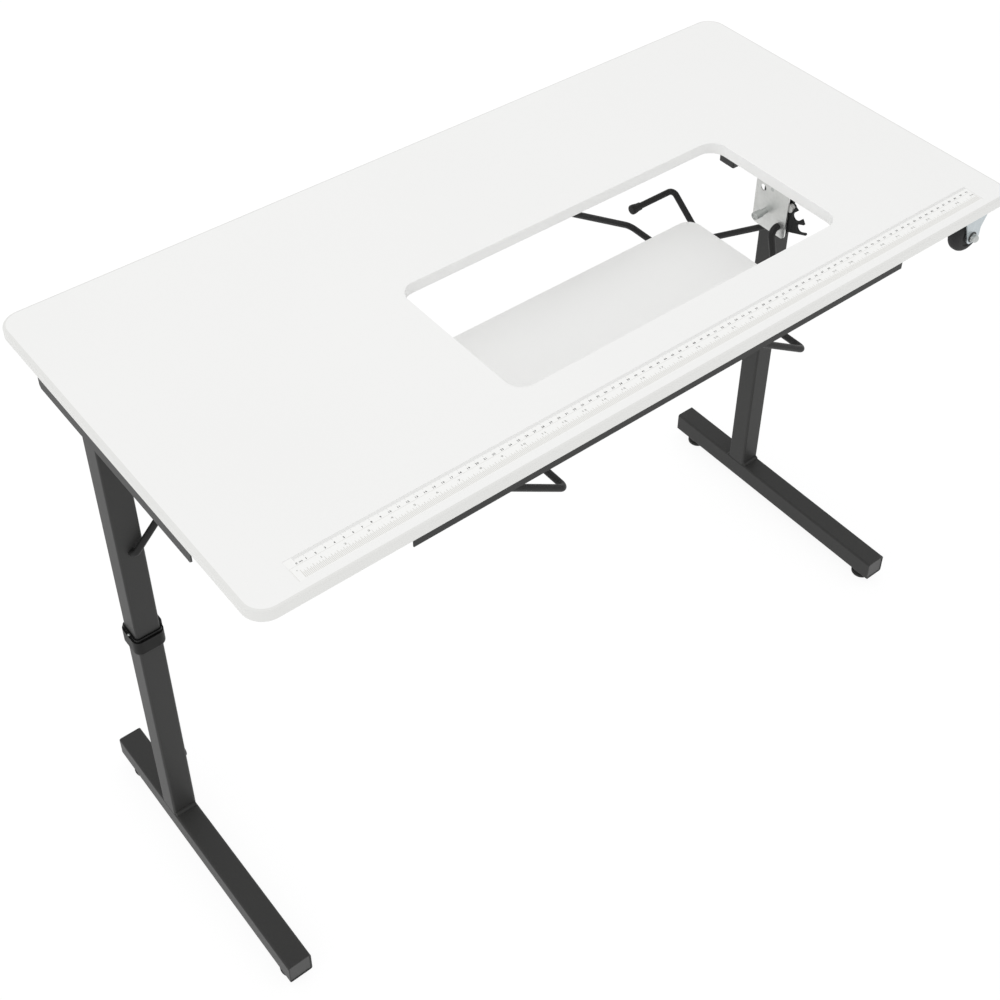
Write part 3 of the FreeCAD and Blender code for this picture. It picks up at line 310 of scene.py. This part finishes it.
NODE_FINISHES = {
    "table_top": LAMINATE, "platform": LIGHTENED_PLATFORM_LAMINATE,
    "top_edge_band": BANDING, "cutout_edge_band": LIGHTENED_CUTOUT_BANDING, "platform_edge_band": LIGHTENED_CUTOUT_BANDING,
    "ruler_strip": PAPER,
    "front_rail": COAT, "rear_rail": COAT, "left_cross_rail": COAT, "right_cross_rail": COAT,
    "left_hinge_bracket": COAT, "right_hinge_bracket": COAT, "rear_pivot_brackets": COAT,
    "left_brace_keeper": COAT, "right_brace_keeper": COAT,
    "left_post": COAT, "right_post": COAT, "left_foot_bar": COAT, "right_foot_bar": COAT,
    "left_brace": ROD_COAT, "right_brace": ROD_COAT, "lift_lever": ROD_COAT,
    "swing_rod_left": ROD_COAT, "swing_rod_right": ROD_COAT,
    "notched_plate": PLATE_BLACK, "pawl_arm": PLATE_BLACK, "pawl_roller": PALE_PLASTIC,
    "selector_bracket": ZINC, "front_caster_fork": BLUE_ZINC, "rear_caster_fork": BLUE_ZINC,
    "selector_stud": ZINC_TURNED, "front_caster_axle": ZINC_TURNED, "rear_caster_axle": ZINC_TURNED,
    "rail_screws": ZINC_TURNED, "bracket_screws": ZINC_TURNED, "caster_screws": ZINC_TURNED,
    "clip_screws": ZINC_TURNED, "left_hinge_pin": ZINC_TURNED, "right_hinge_pin": ZINC_TURNED,
    "pawl_pin": ZINC_TURNED,
    "left_collar": COLLAR_PLASTIC, "right_collar": COLLAR_PLASTIC,
    "left_post_bumper": BLACK_PLASTIC, "right_post_bumper": BLACK_PLASTIC, "stop_tabs": BLACK_PLASTIC,
    "platform_rod_clips": BLACK_PLASTIC,
    "left_brace_roller": BLACK_PLASTIC, "right_brace_roller": BLACK_PLASTIC,
    "left_foot_plugs": GREY_PLASTIC, "right_foot_plugs": GREY_PLASTIC,
    "left_foot_pads": RUBBER, "right_foot_pads": RUBBER, "lever_grip": RUBBER,
    "front_caster_wheel": TYRE, "rear_caster_wheel": TYRE,
}
for name, finish in NODE_FINISHES.items():
    nodes[name].data.materials.clear()
    nodes[name].data.materials.append(finish)


# ---- Modelling helpers -------------------------------------------------------------------------

def begin():
    """Nothing selected, object mode."""
    bpy.ops.object.select_all(action="DESELECT")


def primitive(operator, **sizes):
    """Add a primitive with nothing else selected."""
    begin()
    operator(**sizes)
    return bpy.context.view_layer.objects.active


def pick(obj, test, kind="FACE"):
    """Go to edit mode with only the faces or edges selected whose middle (and normal) pass the test."""
    bpy.ops.object.mode_set(mode="EDIT")
    bpy.ops.mesh.select_mode(type=kind)
    bpy.ops.mesh.select_all(action="DESELECT")
    bpy.ops.object.mode_set(mode="OBJECT")
    mesh = obj.data
    if kind == "FACE":
        for face in mesh.polygons:
            face.select = test(face.center, face.normal)
    else:
        for edge in mesh.edges:
            ends = [mesh.vertices[index].co for index in edge.vertices]
            edge.select = test((ends[0] + ends[1]) / 2, ends[1] - ends[0])
    bpy.ops.object.mode_set(mode="EDIT")


def across_x(place):
    """Test for the edges that lie in the plane across X at a place."""
    return lambda middle, along: abs(middle.x - place) < NEAR and abs(along.x) < NEAR


def done_editing():
    """Back to object mode."""
    bpy.ops.object.mode_set(mode="OBJECT")


def settle():
    """Move the active object's place into its mesh."""
    bpy.ops.object.transform_apply(location=True, rotation=True, scale=True)


def merged(objects):
    """Join several objects into one."""
    begin()
    for obj in objects:
        obj.select_set(True)
    bpy.context.view_layer.objects.active = objects[0]
    bpy.ops.object.join()
    return objects[0]


def remove(objects):
    """Delete patterns that were only there to be copied or cut with."""
    begin()
    for obj in objects:
        obj.select_set(True)
    bpy.ops.object.delete()


def copy_at(obj, matrix):
    """A copy with its own mesh, placed by a matrix on top of the original's place."""
    twin = obj.copy()
    twin.data = obj.data.copy()
    twin.data.transform(matrix)
    if matrix.determinant() < 0:
        twin.data.flip_normals()
    bpy.context.scene.collection.objects.link(twin)
    return twin


def apply_modifier(obj, kind, **settings):
    """Add a modifier with its settings and apply it at once."""
    begin()
    obj.select_set(True)
    bpy.context.view_layer.objects.active = obj
    modifier = obj.modifiers.new(kind.title(), kind)
    for key, value in settings.items():
        setattr(modifier, key, value)
    bpy.ops.object.modifier_apply(modifier=modifier.name)


def smooth(obj, degrees):
    """Shade smooth, except over edges sharper than an angle."""
    begin()
    obj.select_set(True)
    bpy.context.view_layer.objects.active = obj
    bpy.ops.object.shade_smooth_by_angle(angle=math.radians(degrees))


def piece(obj, name, body, finish):
    """Name a finished piece, give it its finish and let it move with its body."""
    obj.name = name
    obj.data.name = name
    obj.data.materials.clear()
    obj.data.materials.append(finish)
    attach(obj, body)
    return obj


def middle_of(node):
    """Middle of a node's box."""
    low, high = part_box(node)
    return (low + high) / 2


# ---- Ruler printing ----------------------------------------------------------------------------

strip_low, strip_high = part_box("ruler_strip")
PRINT_Z = strip_high.z + 0.02 * MM
PRINT_THICK = 0.03 * MM
CM = 10 * MM
CM_ZERO = -446.7 * MM
CM_END = 91.75
CM_TICKS_INSET = 0.3 * MM
CM_NUMBERS_FROM_BACK = 8.5 * MM
INCH = 25.4 * MM
INCH_ZERO = -448.4 * MM
INCH_END = 36
INCH_TICKS_INSET = 1.4 * MM
INCH_NUMBER_SHIFT = -2.4 * MM
INCH_NUMBERS_FROM_BACK = 15.7 * MM
INCH_NUMBER_STRETCH = 1.7
DIVIDER_FROM_BACK = 10.9 * MM
LINE_WIDTH = 0.3 * MM
LINE_INSET = 0.5 * MM
END_LINE_INSET = 0.8 * MM
DIGIT_HEIGHT = 2.2 * MM
UNIT_HEIGHT = 1.4 * MM
UNIT_DROP = 0.7 * MM
UNIT_SHIFT = 4.4 * MM
# Ticks a unit, where each row of them starts and ends from its edge, and their width, in mm.
CM_TICKS = ((10, 0, 3.2, 0.45), (2, 3.2, 3.9, 0.45), (1, 3.9, 5.0, 0.4))
INCH_TICKS = ((16, 0, 6.8, 0.75), (8, 6.8, 8.2, 0.7), (4, 8.2, 9.4, 0.6),
              (2, 9.4, 10.0, 0.5), (1, 10.0, 10.6, 0.4))


def printed_bar(x, y, length, width):
    """Flat printed bar with softened corners, centred on x and y."""
    bar = primitive(bpy.ops.mesh.primitive_cube_add, size=1, location=(x, y, PRINT_Z))
    bar.scale = (length, width, PRINT_THICK)
    settle()
    pick(bar, lambda middle, along: abs(along.z) > 0.9 * PRINT_THICK, "EDGE")
    bpy.ops.mesh.bevel(offset=0.1 * min(length, width), segments=1, affect="EDGES")
    done_editing()
    return bar


def tick_rows(rows, zero, unit, end, edge_y, inward):
    """Rows of equal ticks on one scale; each row begins where the row before it ends."""
    made = []
    for parts, near, far, width in rows:
        middle = edge_y + inward * (near + far) / 2 * MM
        tick = printed_bar(zero, middle, width * MM, (far - near) * MM)
        apply_modifier(tick, "ARRAY", count=int(parts * end) + 1, use_relative_offset=False,
                       use_constant_offset=True, constant_offset_displace=(unit / parts, 0, 0))
        made.append(tick)
    return made


def print_meshes(words, height):
    """Short words as thin raised print, each a mesh centred on its origin."""
    made = {}
    for letters in words:
        text = primitive(bpy.ops.object.text_add, location=(0, 0, 0))
        text.data.body = letters
        text.data.size = height / 0.7
        text.data.offset = 0.04 * height
        text.data.extrude = PRINT_THICK / 2
        text.data.resolution_u = 2
        text.data.align_x = "CENTER"
        bpy.ops.object.convert(target="MESH")
        made[letters] = text
    return made


def number_row(digits, numbers, first_x, pitch, middle_y, stretch=1.0):
    """Numbers centred on their places along the strip, drawn wider by the stretch."""
    advance = 0.86 * DIGIT_HEIGHT * stretch
    widen = Matrix.Diagonal((stretch, 1, 1, 1))
    copies = []
    for number in numbers:
        letters = str(number)
        for index, letter in enumerate(letters):
            x = first_x + number * pitch + (index - (len(letters) - 1) / 2) * advance
            place = Matrix.Translation((x, middle_y - DIGIT_HEIGHT / 2, PRINT_Z))
            copies.append(copy_at(digits[letter], place @ widen))
    return copies


def ruler_ticks():
    """Millimetre ticks along the back edge and sixteenths of an inch along the front edge."""
    back = strip_high.y - CM_TICKS_INSET
    front = strip_low.y + INCH_TICKS_INSET
    millimetres = merged(tick_rows(CM_TICKS, CM_ZERO, CM, CM_END, back, -1))
    piece(millimetres, "ruler_millimetre_ticks", "tabletop", BAND_INK)
    inches = merged(tick_rows(INCH_TICKS, INCH_ZERO, INCH, INCH_END, front, 1))
    piece(inches, "ruler_inch_ticks", "tabletop", BEIGE_INK)


def ruler_lines():
    """Line between the two scales and a line at each end of the inch scale."""
    middle_x = (strip_low.x + strip_high.x) / 2
    divider_y = strip_high.y - DIVIDER_FROM_BACK
    divider = printed_bar(middle_x, divider_y, strip_high.x - strip_low.x - 2 * LINE_INSET, LINE_WIDTH)
    depth = divider_y - strip_low.y - 2 * LINE_INSET
    ends = [printed_bar(x, (divider_y + strip_low.y) / 2, LINE_WIDTH, depth)
            for x in (strip_low.x + END_LINE_INSET, strip_high.x - END_LINE_INSET)]
    piece(merged([divider, *ends]), "ruler_lines", "tabletop", BEIGE_INK)


def ruler_numbers():
    """Numbers of both scales, with the unit beside each zero."""
    digits = print_meshes("0123456789", DIGIT_HEIGHT)
    units = print_meshes(("(cm)", "in"), UNIT_HEIGHT)
    row = strip_high.y - CM_NUMBERS_FROM_BACK
    copies = number_row(digits, range(int(CM_END) + 1), CM_ZERO, CM, row)
    unit_place = Matrix.Translation((CM_ZERO + UNIT_SHIFT, row - UNIT_DROP, PRINT_Z))
    copies.append(copy_at(units["(cm)"], unit_place))
    piece(merged(copies), "ruler_centimetre_numbers", "tabletop", DARK_INK)

    row = strip_high.y - INCH_NUMBERS_FROM_BACK
    first = INCH_ZERO + INCH_NUMBER_SHIFT
    copies = number_row(digits, range(1, INCH_END + 1), first, INCH, row, INCH_NUMBER_STRETCH)
    copies.append(copy_at(units["in"], Matrix.Translation((first, row - UNIT_DROP, PRINT_Z))))
    piece(merged(copies), "ruler_inch_numbers", "tabletop", GREY_INK)
    remove([*digits.values(), *units.values()])


ruler_ticks()
ruler_lines()
ruler_numbers()


# ---- Screw heads -------------------------------------------------------------------------------

HEAD_RADIUS = 4 * MM
HEAD_HEIGHT = 2.2 * MM
HEAD_TURN = 0.6


def pan_head(radius, height):
    """Domed head seen from below, with a cross recess; its seat lies at z 0 and it points down."""
    head = primitive(bpy.ops.mesh.primitive_cylinder_add, vertices=32, radius=radius, depth=height,
                     location=(0, 0, -height / 2))
    settle()
    pick(head, lambda middle, along: middle.z < -0.9 * height and abs(along.z) < 0.1 * height, "EDGE")
    bpy.ops.mesh.bevel(offset=0.6 * height, segments=4, affect="EDGES")
    done_editing()
    slots = []
    for turn in (0, math.pi / 2):
        slot = primitive(bpy.ops.mesh.primitive_cube_add, size=1, location=(0, 0, -1.1 * height),
                         rotation=(0, 0, turn))
        slot.scale = (1.05 * radius, 0.24 * radius, 0.9 * height)
        settle()
        slots.append(slot)
    for slot in slots:
        apply_modifier(head, "BOOLEAN", object=slot, operation="DIFFERENCE")
    remove(slots)
    smooth(head, 40)
    return head


def islands(node):
    """The low and high corners of each loose part of a node's mesh."""
    mesh = nodes[node].data
    parent = list(range(len(mesh.vertices)))

    def root(index):
        while parent[index] != index:
            parent[index] = parent[parent[index]]
            index = parent[index]
        return index

    seen = {}
    for vertex in mesh.vertices:
        key = tuple(round(value, 6) for value in vertex.co)
        parent[vertex.index] = root(seen.setdefault(key, vertex.index))
    for face in mesh.polygons:
        first = root(face.vertices[0])
        for index in face.vertices[1:]:
            parent[root(index)] = first
    groups = {}
    for vertex in mesh.vertices:
        groups.setdefault(root(vertex.index), []).append(vertex.co)
    boxes = []
    for group in groups.values():
        low = Vector([min(co[axis] for co in group) for axis in range(3)])
        high = Vector([max(co[axis] for co in group) for axis in range(3)])
        boxes.append((low, high))
    return boxes


def screw_heads():
    """Cross-recess heads in place of the plain ones, each turned a little further than the last."""
    head = pan_head(HEAD_RADIUS, HEAD_HEIGHT)
    for node, name in (("rail_screws", "rail_screw_heads"), ("bracket_screws", "bracket_screw_heads"),
                       ("caster_screws", "caster_screw_heads")):
        copies = []
        for number, (low, high) in enumerate(islands(node)):
            centre = (low + high) / 2
            turn = Matrix.Rotation(HEAD_TURN * number, 4, "Z")
            seat = Matrix.Translation((centre.x, centre.y, low.z + HEAD_HEIGHT))
            copies.append(copy_at(head, seat @ turn))
        made = piece(merged(copies), name, "tabletop", ZINC_TURNED)
        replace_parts(made, node)
    remove([head])


screw_heads()


# ---- Foot pads and weld beads ------------------------------------------------------------------

PAD_RADIUS = 14 * MM
BEAD_RADIUS = 4.2 * MM
BEAD_INSET = 1.5 * MM
RIPPLES = 14


def foot_pad(radius, height):
    """Round glide: a rounded sole, a shoulder and a stem."""
    pad = primitive(bpy.ops.mesh.primitive_cylinder_add, vertices=48, radius=radius, depth=0.55 * height,
                    location=(0, 0, 0.275 * height))
    settle()
    pick(pad, lambda middle, along: abs(along.z) < NEAR and middle.xy.length > 0.9 * radius, "EDGE")
    bpy.ops.mesh.bevel(offset=0.18 * height, segments=3, affect="EDGES")
    done_editing()
    pick(pad, lambda centre, normal: normal.z > 0.9)
    bpy.ops.mesh.inset(thickness=0.16 * radius)
    bpy.ops.mesh.extrude_region_move(TRANSFORM_OT_translate={"value": (0, 0, 0.12 * height)})
    bpy.ops.transform.resize(value=(0.93, 0.93, 1))
    bpy.ops.mesh.inset(thickness=0.2 * radius)
    bpy.ops.mesh.extrude_region_move(TRANSFORM_OT_translate={"value": (0, 0, 0.33 * height)})
    done_editing()
    pick(pad, lambda centre, normal: normal.z < -0.9)
    bpy.ops.mesh.inset(thickness=0.08 * radius)
    bpy.ops.mesh.inset(thickness=0.14 * radius)
    bpy.ops.transform.translate(value=(0, 0, 0.06 * height))
    done_editing()
    smooth(pad, 30)
    return pad


def foot_pads():
    """Four glides on the floor, two a leg."""
    pad = foot_pad(PAD_RADIUS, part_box("left_foot_pads")[1].z)
    for side, body in (("left", "left_leg"), ("right", "right_leg")):
        copies = []
        for low, high in islands(side + "_foot_pads"):
            centre = (low + high) / 2
            copies.append(copy_at(pad, Matrix.Translation((centre.x, centre.y, 0))))
        made = piece(merged(copies), side + "_glides", body, RUBBER)
        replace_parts(made, side + "_foot_pads")
    remove([pad])


foot_pads()


def weld_bead(x, y, z, length):
    """Rippled run of weld along X, in the corner between a post and its foot bar."""
    bead = primitive(bpy.ops.mesh.primitive_cylinder_add, vertices=24, radius=BEAD_RADIUS, depth=length,
                     location=(x, y, z), rotation=(0, math.pi / 2, 0))
    settle()
    places = [x - length / 2 + length * number / RIPPLES for number in range(1, RIPPLES)]
    bpy.ops.object.mode_set(mode="EDIT")
    for place in places:
        bpy.ops.mesh.select_all(action="SELECT")
        bpy.ops.mesh.bisect(plane_co=(place, y, z), plane_no=(1, 0, 0))
    done_editing()
    for place in places[::2]:
        pick(bead, across_x(place), "EDGE")
        bpy.ops.transform.resize(value=(1, 0.86, 0.86), center_override=(place, y, z))
        done_editing()
    pick(bead, lambda middle, along: abs(middle.x - x) > length / 2 - NEAR and abs(along.x) < NEAR, "EDGE")
    bpy.ops.mesh.bevel(offset=0.8 * MM, segments=3, affect="EDGES")
    done_editing()
    smooth(bead, 60)
    return bead


for side, body in (("left", "left_leg"), ("right", "right_leg")):
    low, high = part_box(side + "_post")
    centre = middle_of(side + "_post")
    beads = [weld_bead(centre.x, y, low.z, high.x - low.x - 2 * BEAD_INSET) for y in (low.y, high.y)]
    piece(merged(beads), side + "_foot_welds", body, COAT)


# ---- Lever cap ---------------------------------------------------------------------------------

TIP_ROUND = 1.6 * MM
MOUTH_ROUND = 0.5 * MM


def lever_cap():
    """Rubber cap on the lever's end: narrow on the rod, flared and rounded at the tip."""
    low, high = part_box("lever_grip")
    centre = (low + high) / 2
    length = high.x - low.x
    radius = (high.y - low.y) / 2
    cap = primitive(bpy.ops.mesh.primitive_cylinder_add, vertices=40, radius=radius, depth=length,
                    location=centre, rotation=(0, math.pi / 2, 0))
    settle()
    bpy.ops.object.mode_set(mode="EDIT")
    for share in (0.3, 0.5, 0.62):
        bpy.ops.mesh.select_all(action="SELECT")
        bpy.ops.mesh.bisect(plane_co=(low.x + share * length, centre.y, centre.z), plane_no=(1, 0, 0))
    done_editing()
    for share, scale in ((0.5, 0.92), (0.62, 0.84), (1.0, 0.8)):
        place = low.x + share * length
        pick(cap, across_x(place), "EDGE")
        bpy.ops.transform.resize(value=(1, scale, scale), center_override=(place, centre.y, centre.z))
        done_editing()
    pick(cap, across_x(low.x), "EDGE")
    bpy.ops.mesh.bevel(offset=TIP_ROUND, segments=4, affect="EDGES")
    done_editing()
    pick(cap, across_x(high.x), "EDGE")
    bpy.ops.mesh.bevel(offset=MOUTH_ROUND, segments=2, affect="EDGES")
    done_editing()
    smooth(cap, 40)
    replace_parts(piece(cap, "lever_cap", "release_lever", RUBBER), "lever_grip")


lever_cap()


# ---- Casters -----------------------------------------------------------------------------------

WHEEL_WIDTH = 18 * MM
TREAD_ROUND = 8 * MM
HUB_RING_RADIUS = 6.2 * MM
HUB_RING_WIRE = 0.9 * MM
HUB_RING_PROUD = 0.2 * MM
NUT_HEIGHT = 8 * MM
FLATS_RADIUS = 5.7 * MM
FLATS_HEIGHT = 3 * MM
DARK_RING_RADIUS = 6.9 * MM
DARK_RING_THICK = 0.8 * MM
# Steps from the tread's edge to the hub: how far in, and how far the rest then moves inwards, in mm.
WHEEL_FACE = ((1.2, 0), (0.8, 1.4), (4.0, 0), (1.0, -1.9))


def caster_wheel(name, body):
    """Rubber wheel: a crowned tread, dished sides and a hub that stands a little proud."""
    node = name + "_caster_wheel"
    low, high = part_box(node)
    centre = (low + high) / 2
    radius = (high.z - low.z) / 2
    wheel = primitive(bpy.ops.mesh.primitive_cylinder_add, vertices=72, radius=radius, depth=WHEEL_WIDTH,
                      location=centre, rotation=(math.pi / 2, 0, 0))
    settle()
    pick(wheel, lambda middle, along: abs(along.y) < 0.01, "EDGE")
    bpy.ops.mesh.bevel(offset=TREAD_ROUND, segments=8, affect="EDGES")
    done_editing()
    for way in (-1, 1):
        pick(wheel, lambda middle, normal: way * normal.y > 0.9 and
             (middle - centre).length < WHEEL_WIDTH / 2 + 0.1 * MM)
        for step, sink in WHEEL_FACE:
            bpy.ops.mesh.inset(thickness=step * MM)
            bpy.ops.transform.translate(value=(0, -way * sink * MM, 0))
        done_editing()
    smooth(wheel, 30)
    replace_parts(piece(wheel, name + "_wheel_tyre", body, TYRE), node)

    rings = []
    for way in (-1, 1):
        place = Vector((centre.x, centre.y + way * (WHEEL_WIDTH / 2 + HUB_RING_PROUD), centre.z))
        ring = primitive(bpy.ops.mesh.primitive_torus_add, major_radius=HUB_RING_RADIUS,
                         minor_radius=HUB_RING_WIRE, major_segments=48, minor_segments=10,
                         rotation=(math.pi / 2, 0, 0), location=place)
        settle()
        pick(ring, lambda middle, normal: way * (middle.y - place.y) > HUB_RING_WIRE / 3)
        bpy.ops.transform.resize(value=(1, 0.3, 1), center_override=place)
        done_editing()
        rings.append(ring)
    rings = merged(rings)
    smooth(rings, 60)
    piece(rings, name + "_hub_rings", body, ZINC_TURNED)


def cap_nut(name):
    """Flats round the foot of the domed nut on the axle, and a thin black ring under it."""
    low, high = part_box(name + "_caster_axle")
    centre = (low + high) / 2
    nut_foot = low.y + NUT_HEIGHT
    flats = primitive(bpy.ops.mesh.primitive_cylinder_add, vertices=6, radius=FLATS_RADIUS,
                      depth=FLATS_HEIGHT, location=(centre.x, nut_foot - FLATS_HEIGHT / 2, centre.z),
                      rotation=(math.pi / 2, 0, 0))
    settle()
    pick(flats, lambda middle, along: middle.y < nut_foot - FLATS_HEIGHT + NEAR, "EDGE")
    bpy.ops.mesh.bevel(offset=0.6 * MM, segments=3, affect="EDGES")
    done_editing()
    smooth(flats, 30)
    piece(flats, name + "_axle_nut_flats", "tabletop", ZINC_TURNED)
    # A thin black ring round the foot of the nut, darker than the zinc around it.
    dark_ring = primitive(bpy.ops.mesh.primitive_cylinder_add, vertices=48, radius=DARK_RING_RADIUS,
                       depth=DARK_RING_THICK, location=(centre.x, nut_foot - DARK_RING_THICK / 2, centre.z),
                       rotation=(math.pi / 2, 0, 0))
    settle()
    pick(dark_ring, lambda middle, along: middle.y < nut_foot - DARK_RING_THICK + NEAR, "EDGE")
    bpy.ops.mesh.bevel(offset=0.3 * MM, segments=3, affect="EDGES")
    done_editing()
    smooth(dark_ring, 30)
    piece(dark_ring, name + "_axle_dark_ring", "tabletop", BLACK_PLASTIC)


for name, body in (("front", "front_wheel"), ("rear", "rear_wheel")):
    caster_wheel(name, body)
    cap_nut(name)


STUD_SCREW_RADIUS = 3.3 * MM
STUD_SCREW_LENGTH = 2.4 * MM
STUD_SCREW_SUNK = 0.5 * MM


def stud_screw():
    """Socket screw sunk in the open end of the stud."""
    low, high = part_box("selector_stud")
    centre = (low + high) / 2
    screw = primitive(bpy.ops.mesh.primitive_cylinder_add, vertices=32, radius=STUD_SCREW_RADIUS,
                      depth=STUD_SCREW_LENGTH, rotation=(0, math.pi / 2, 0),
                      location=(low.x + STUD_SCREW_SUNK + STUD_SCREW_LENGTH / 2, centre.y, centre.z))
    settle()
    pick(screw, lambda middle, normal: normal.x < -0.9)
    bpy.ops.mesh.inset(thickness=0.5 * MM)
    bpy.ops.transform.translate(value=(0.4 * MM, 0, 0))
    done_editing()
    smooth(screw, 30)
    piece(screw, "selector_stud_screw", "tabletop", ZINC_TURNED)


stud_screw()


# ---- Small mouldings ---------------------------------------------------------------------------

DOME_ROUND = 2.6 * MM
PIN_RADIUS = 1.7 * MM
PIN_HEIGHT = 1.2 * MM
PIN_INSET = 2.2 * MM
PIN_RISE = 21.4 * MM


def domed_bumper(side):
    """Soft round stop on the inner face of a post."""
    node = side + "_post_bumper"
    low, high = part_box(node)
    centre = (low + high) / 2
    dome = primitive(bpy.ops.mesh.primitive_cylinder_add, vertices=32, radius=(high.y - low.y) / 2,
                     depth=high.x - low.x, location=centre, rotation=(0, math.pi / 2, 0))
    settle()
    pick(dome, across_x(high.x), "EDGE")
    bpy.ops.mesh.bevel(offset=DOME_ROUND, segments=5, affect="EDGES")
    done_editing()
    smooth(dome, 50)
    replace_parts(piece(dome, side + "_soft_stop", side + "_leg", RUBBER), node)


def collar_pin(side):
    """Small round pin head on the rim of a collar."""
    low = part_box(side + "_collar")[0]
    centre = middle_of(side + "_post")
    pin = primitive(bpy.ops.mesh.primitive_cylinder_add, vertices=24, radius=PIN_RADIUS, depth=PIN_HEIGHT,
                    location=(low.x + PIN_INSET, centre.y, low.z + PIN_RISE))
    settle()
    pick(pin, lambda middle, along: middle.z > low.z + PIN_RISE and abs(along.z) < NEAR, "EDGE")
    bpy.ops.mesh.bevel(offset=0.5 * MM, segments=3, affect="EDGES")
    done_editing()
    smooth(pin, 40)
    piece(pin, side + "_collar_pin", side + "_leg", ZINC_TURNED)


for side in ("left", "right"):
    domed_bumper(side)
    collar_pin(side)


# ---- Floor, light and camera -------------------------------------------------------------------

WHITE = (1, 1, 1, 1)
AMBIENT = 0.88
FLOOR_GLOW = 1.06
FLOOR_GLOW_SHARE = 0.85


def studio_floor():
    """Pale floor that looks white and keeps a soft shadow."""
    floor = primitive(bpy.ops.mesh.primitive_plane_add, size=60, location=(0, 0, -0.5 * MM))
    settle()
    finish = Finish("studio_floor", Base_Color=(0.86, 0.86, 0.86, 1), Roughness=0.9, Specular_IOR_Level=0.0)
    glow = finish.node("ShaderNodeEmission", Strength=FLOOR_GLOW)["Emission"]
    surface = finish.mixed(FLOOR_GLOW_SHARE, Figure(finish, finish.shader.outputs["BSDF"]), glow)
    finish.feed(finish.tree.nodes["Material Output"].inputs["Surface"], surface)
    floor.name = "studio_floor"
    floor.data.materials.append(finish.material)
    floor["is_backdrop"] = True


def studio_world():
    """White backdrop where the camera or a shiny surface looks at it, gentler light for the object."""
    world = bpy.data.worlds.new("studio")
    world.use_nodes = True
    bpy.context.scene.world = world
    wiring = Wiring(world.node_tree)
    backdrop = wiring.tree.nodes["Background"]
    backdrop.inputs["Color"].default_value = WHITE
    backdrop.inputs["Strength"].default_value = 1.0
    soft = wiring.node("ShaderNodeBackground", Color=WHITE, Strength=AMBIENT)["Background"]
    path = wiring.node("ShaderNodeLightPath")
    seen = wiring.work("MAXIMUM", path["Is Camera Ray"], path["Is Glossy Ray"])
    seen = wiring.work("MAXIMUM", seen, path["Is Transmission Ray"])
    light = wiring.mixed(seen, soft, Figure(wiring, backdrop.outputs["Background"]))
    wiring.feed(wiring.tree.nodes["World Output"].inputs["Surface"], light)


def softbox(name, place, target, width, depth, power):
    """Flat rectangular lamp at a place, turned to a target."""
    bpy.ops.object.light_add(type="AREA", location=place)
    lamp = bpy.context.view_layer.objects.active
    lamp.name = name
    lamp.rotation_euler = (Vector(target) - Vector(place)).to_track_quat("-Z", "Y").to_euler()
    lamp.data.shape = "RECTANGLE"
    lamp.data.size = width
    lamp.data.size_y = depth
    lamp.data.energy = power


studio_floor()
studio_world()
softbox("top_softbox", (-0.4, 0.2, 3.2), (0, 0, 0.7), 3.0, 2.4, 10)
softbox("left_softbox", (-3.2, -0.6, 1.6), (0, 0, 0.5), 2.0, 2.0, 2.6)

bpy.ops.object.camera_add()
camera = bpy.context.view_layer.objects.active
camera.name = "camera"
camera.matrix_world = Matrix((
    (0.7765168, 0.3981825, -0.4883363, -0.90602),
    (-0.6299154, 0.5091573, -0.5864857, -1.08546),
    (0.0151116, 0.7630266, 0.6461904, 1.80242),
    (0, 0, 0, 1),
))
camera.data.lens = 58.906
camera.data.sensor_width = 36
camera.data.shift_x = -0.0302
camera.data.shift_y = -0.17382
bpy.context.scene.camera = camera
bpy.context.scene.view_settings.view_transform = "Standard"

low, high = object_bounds()
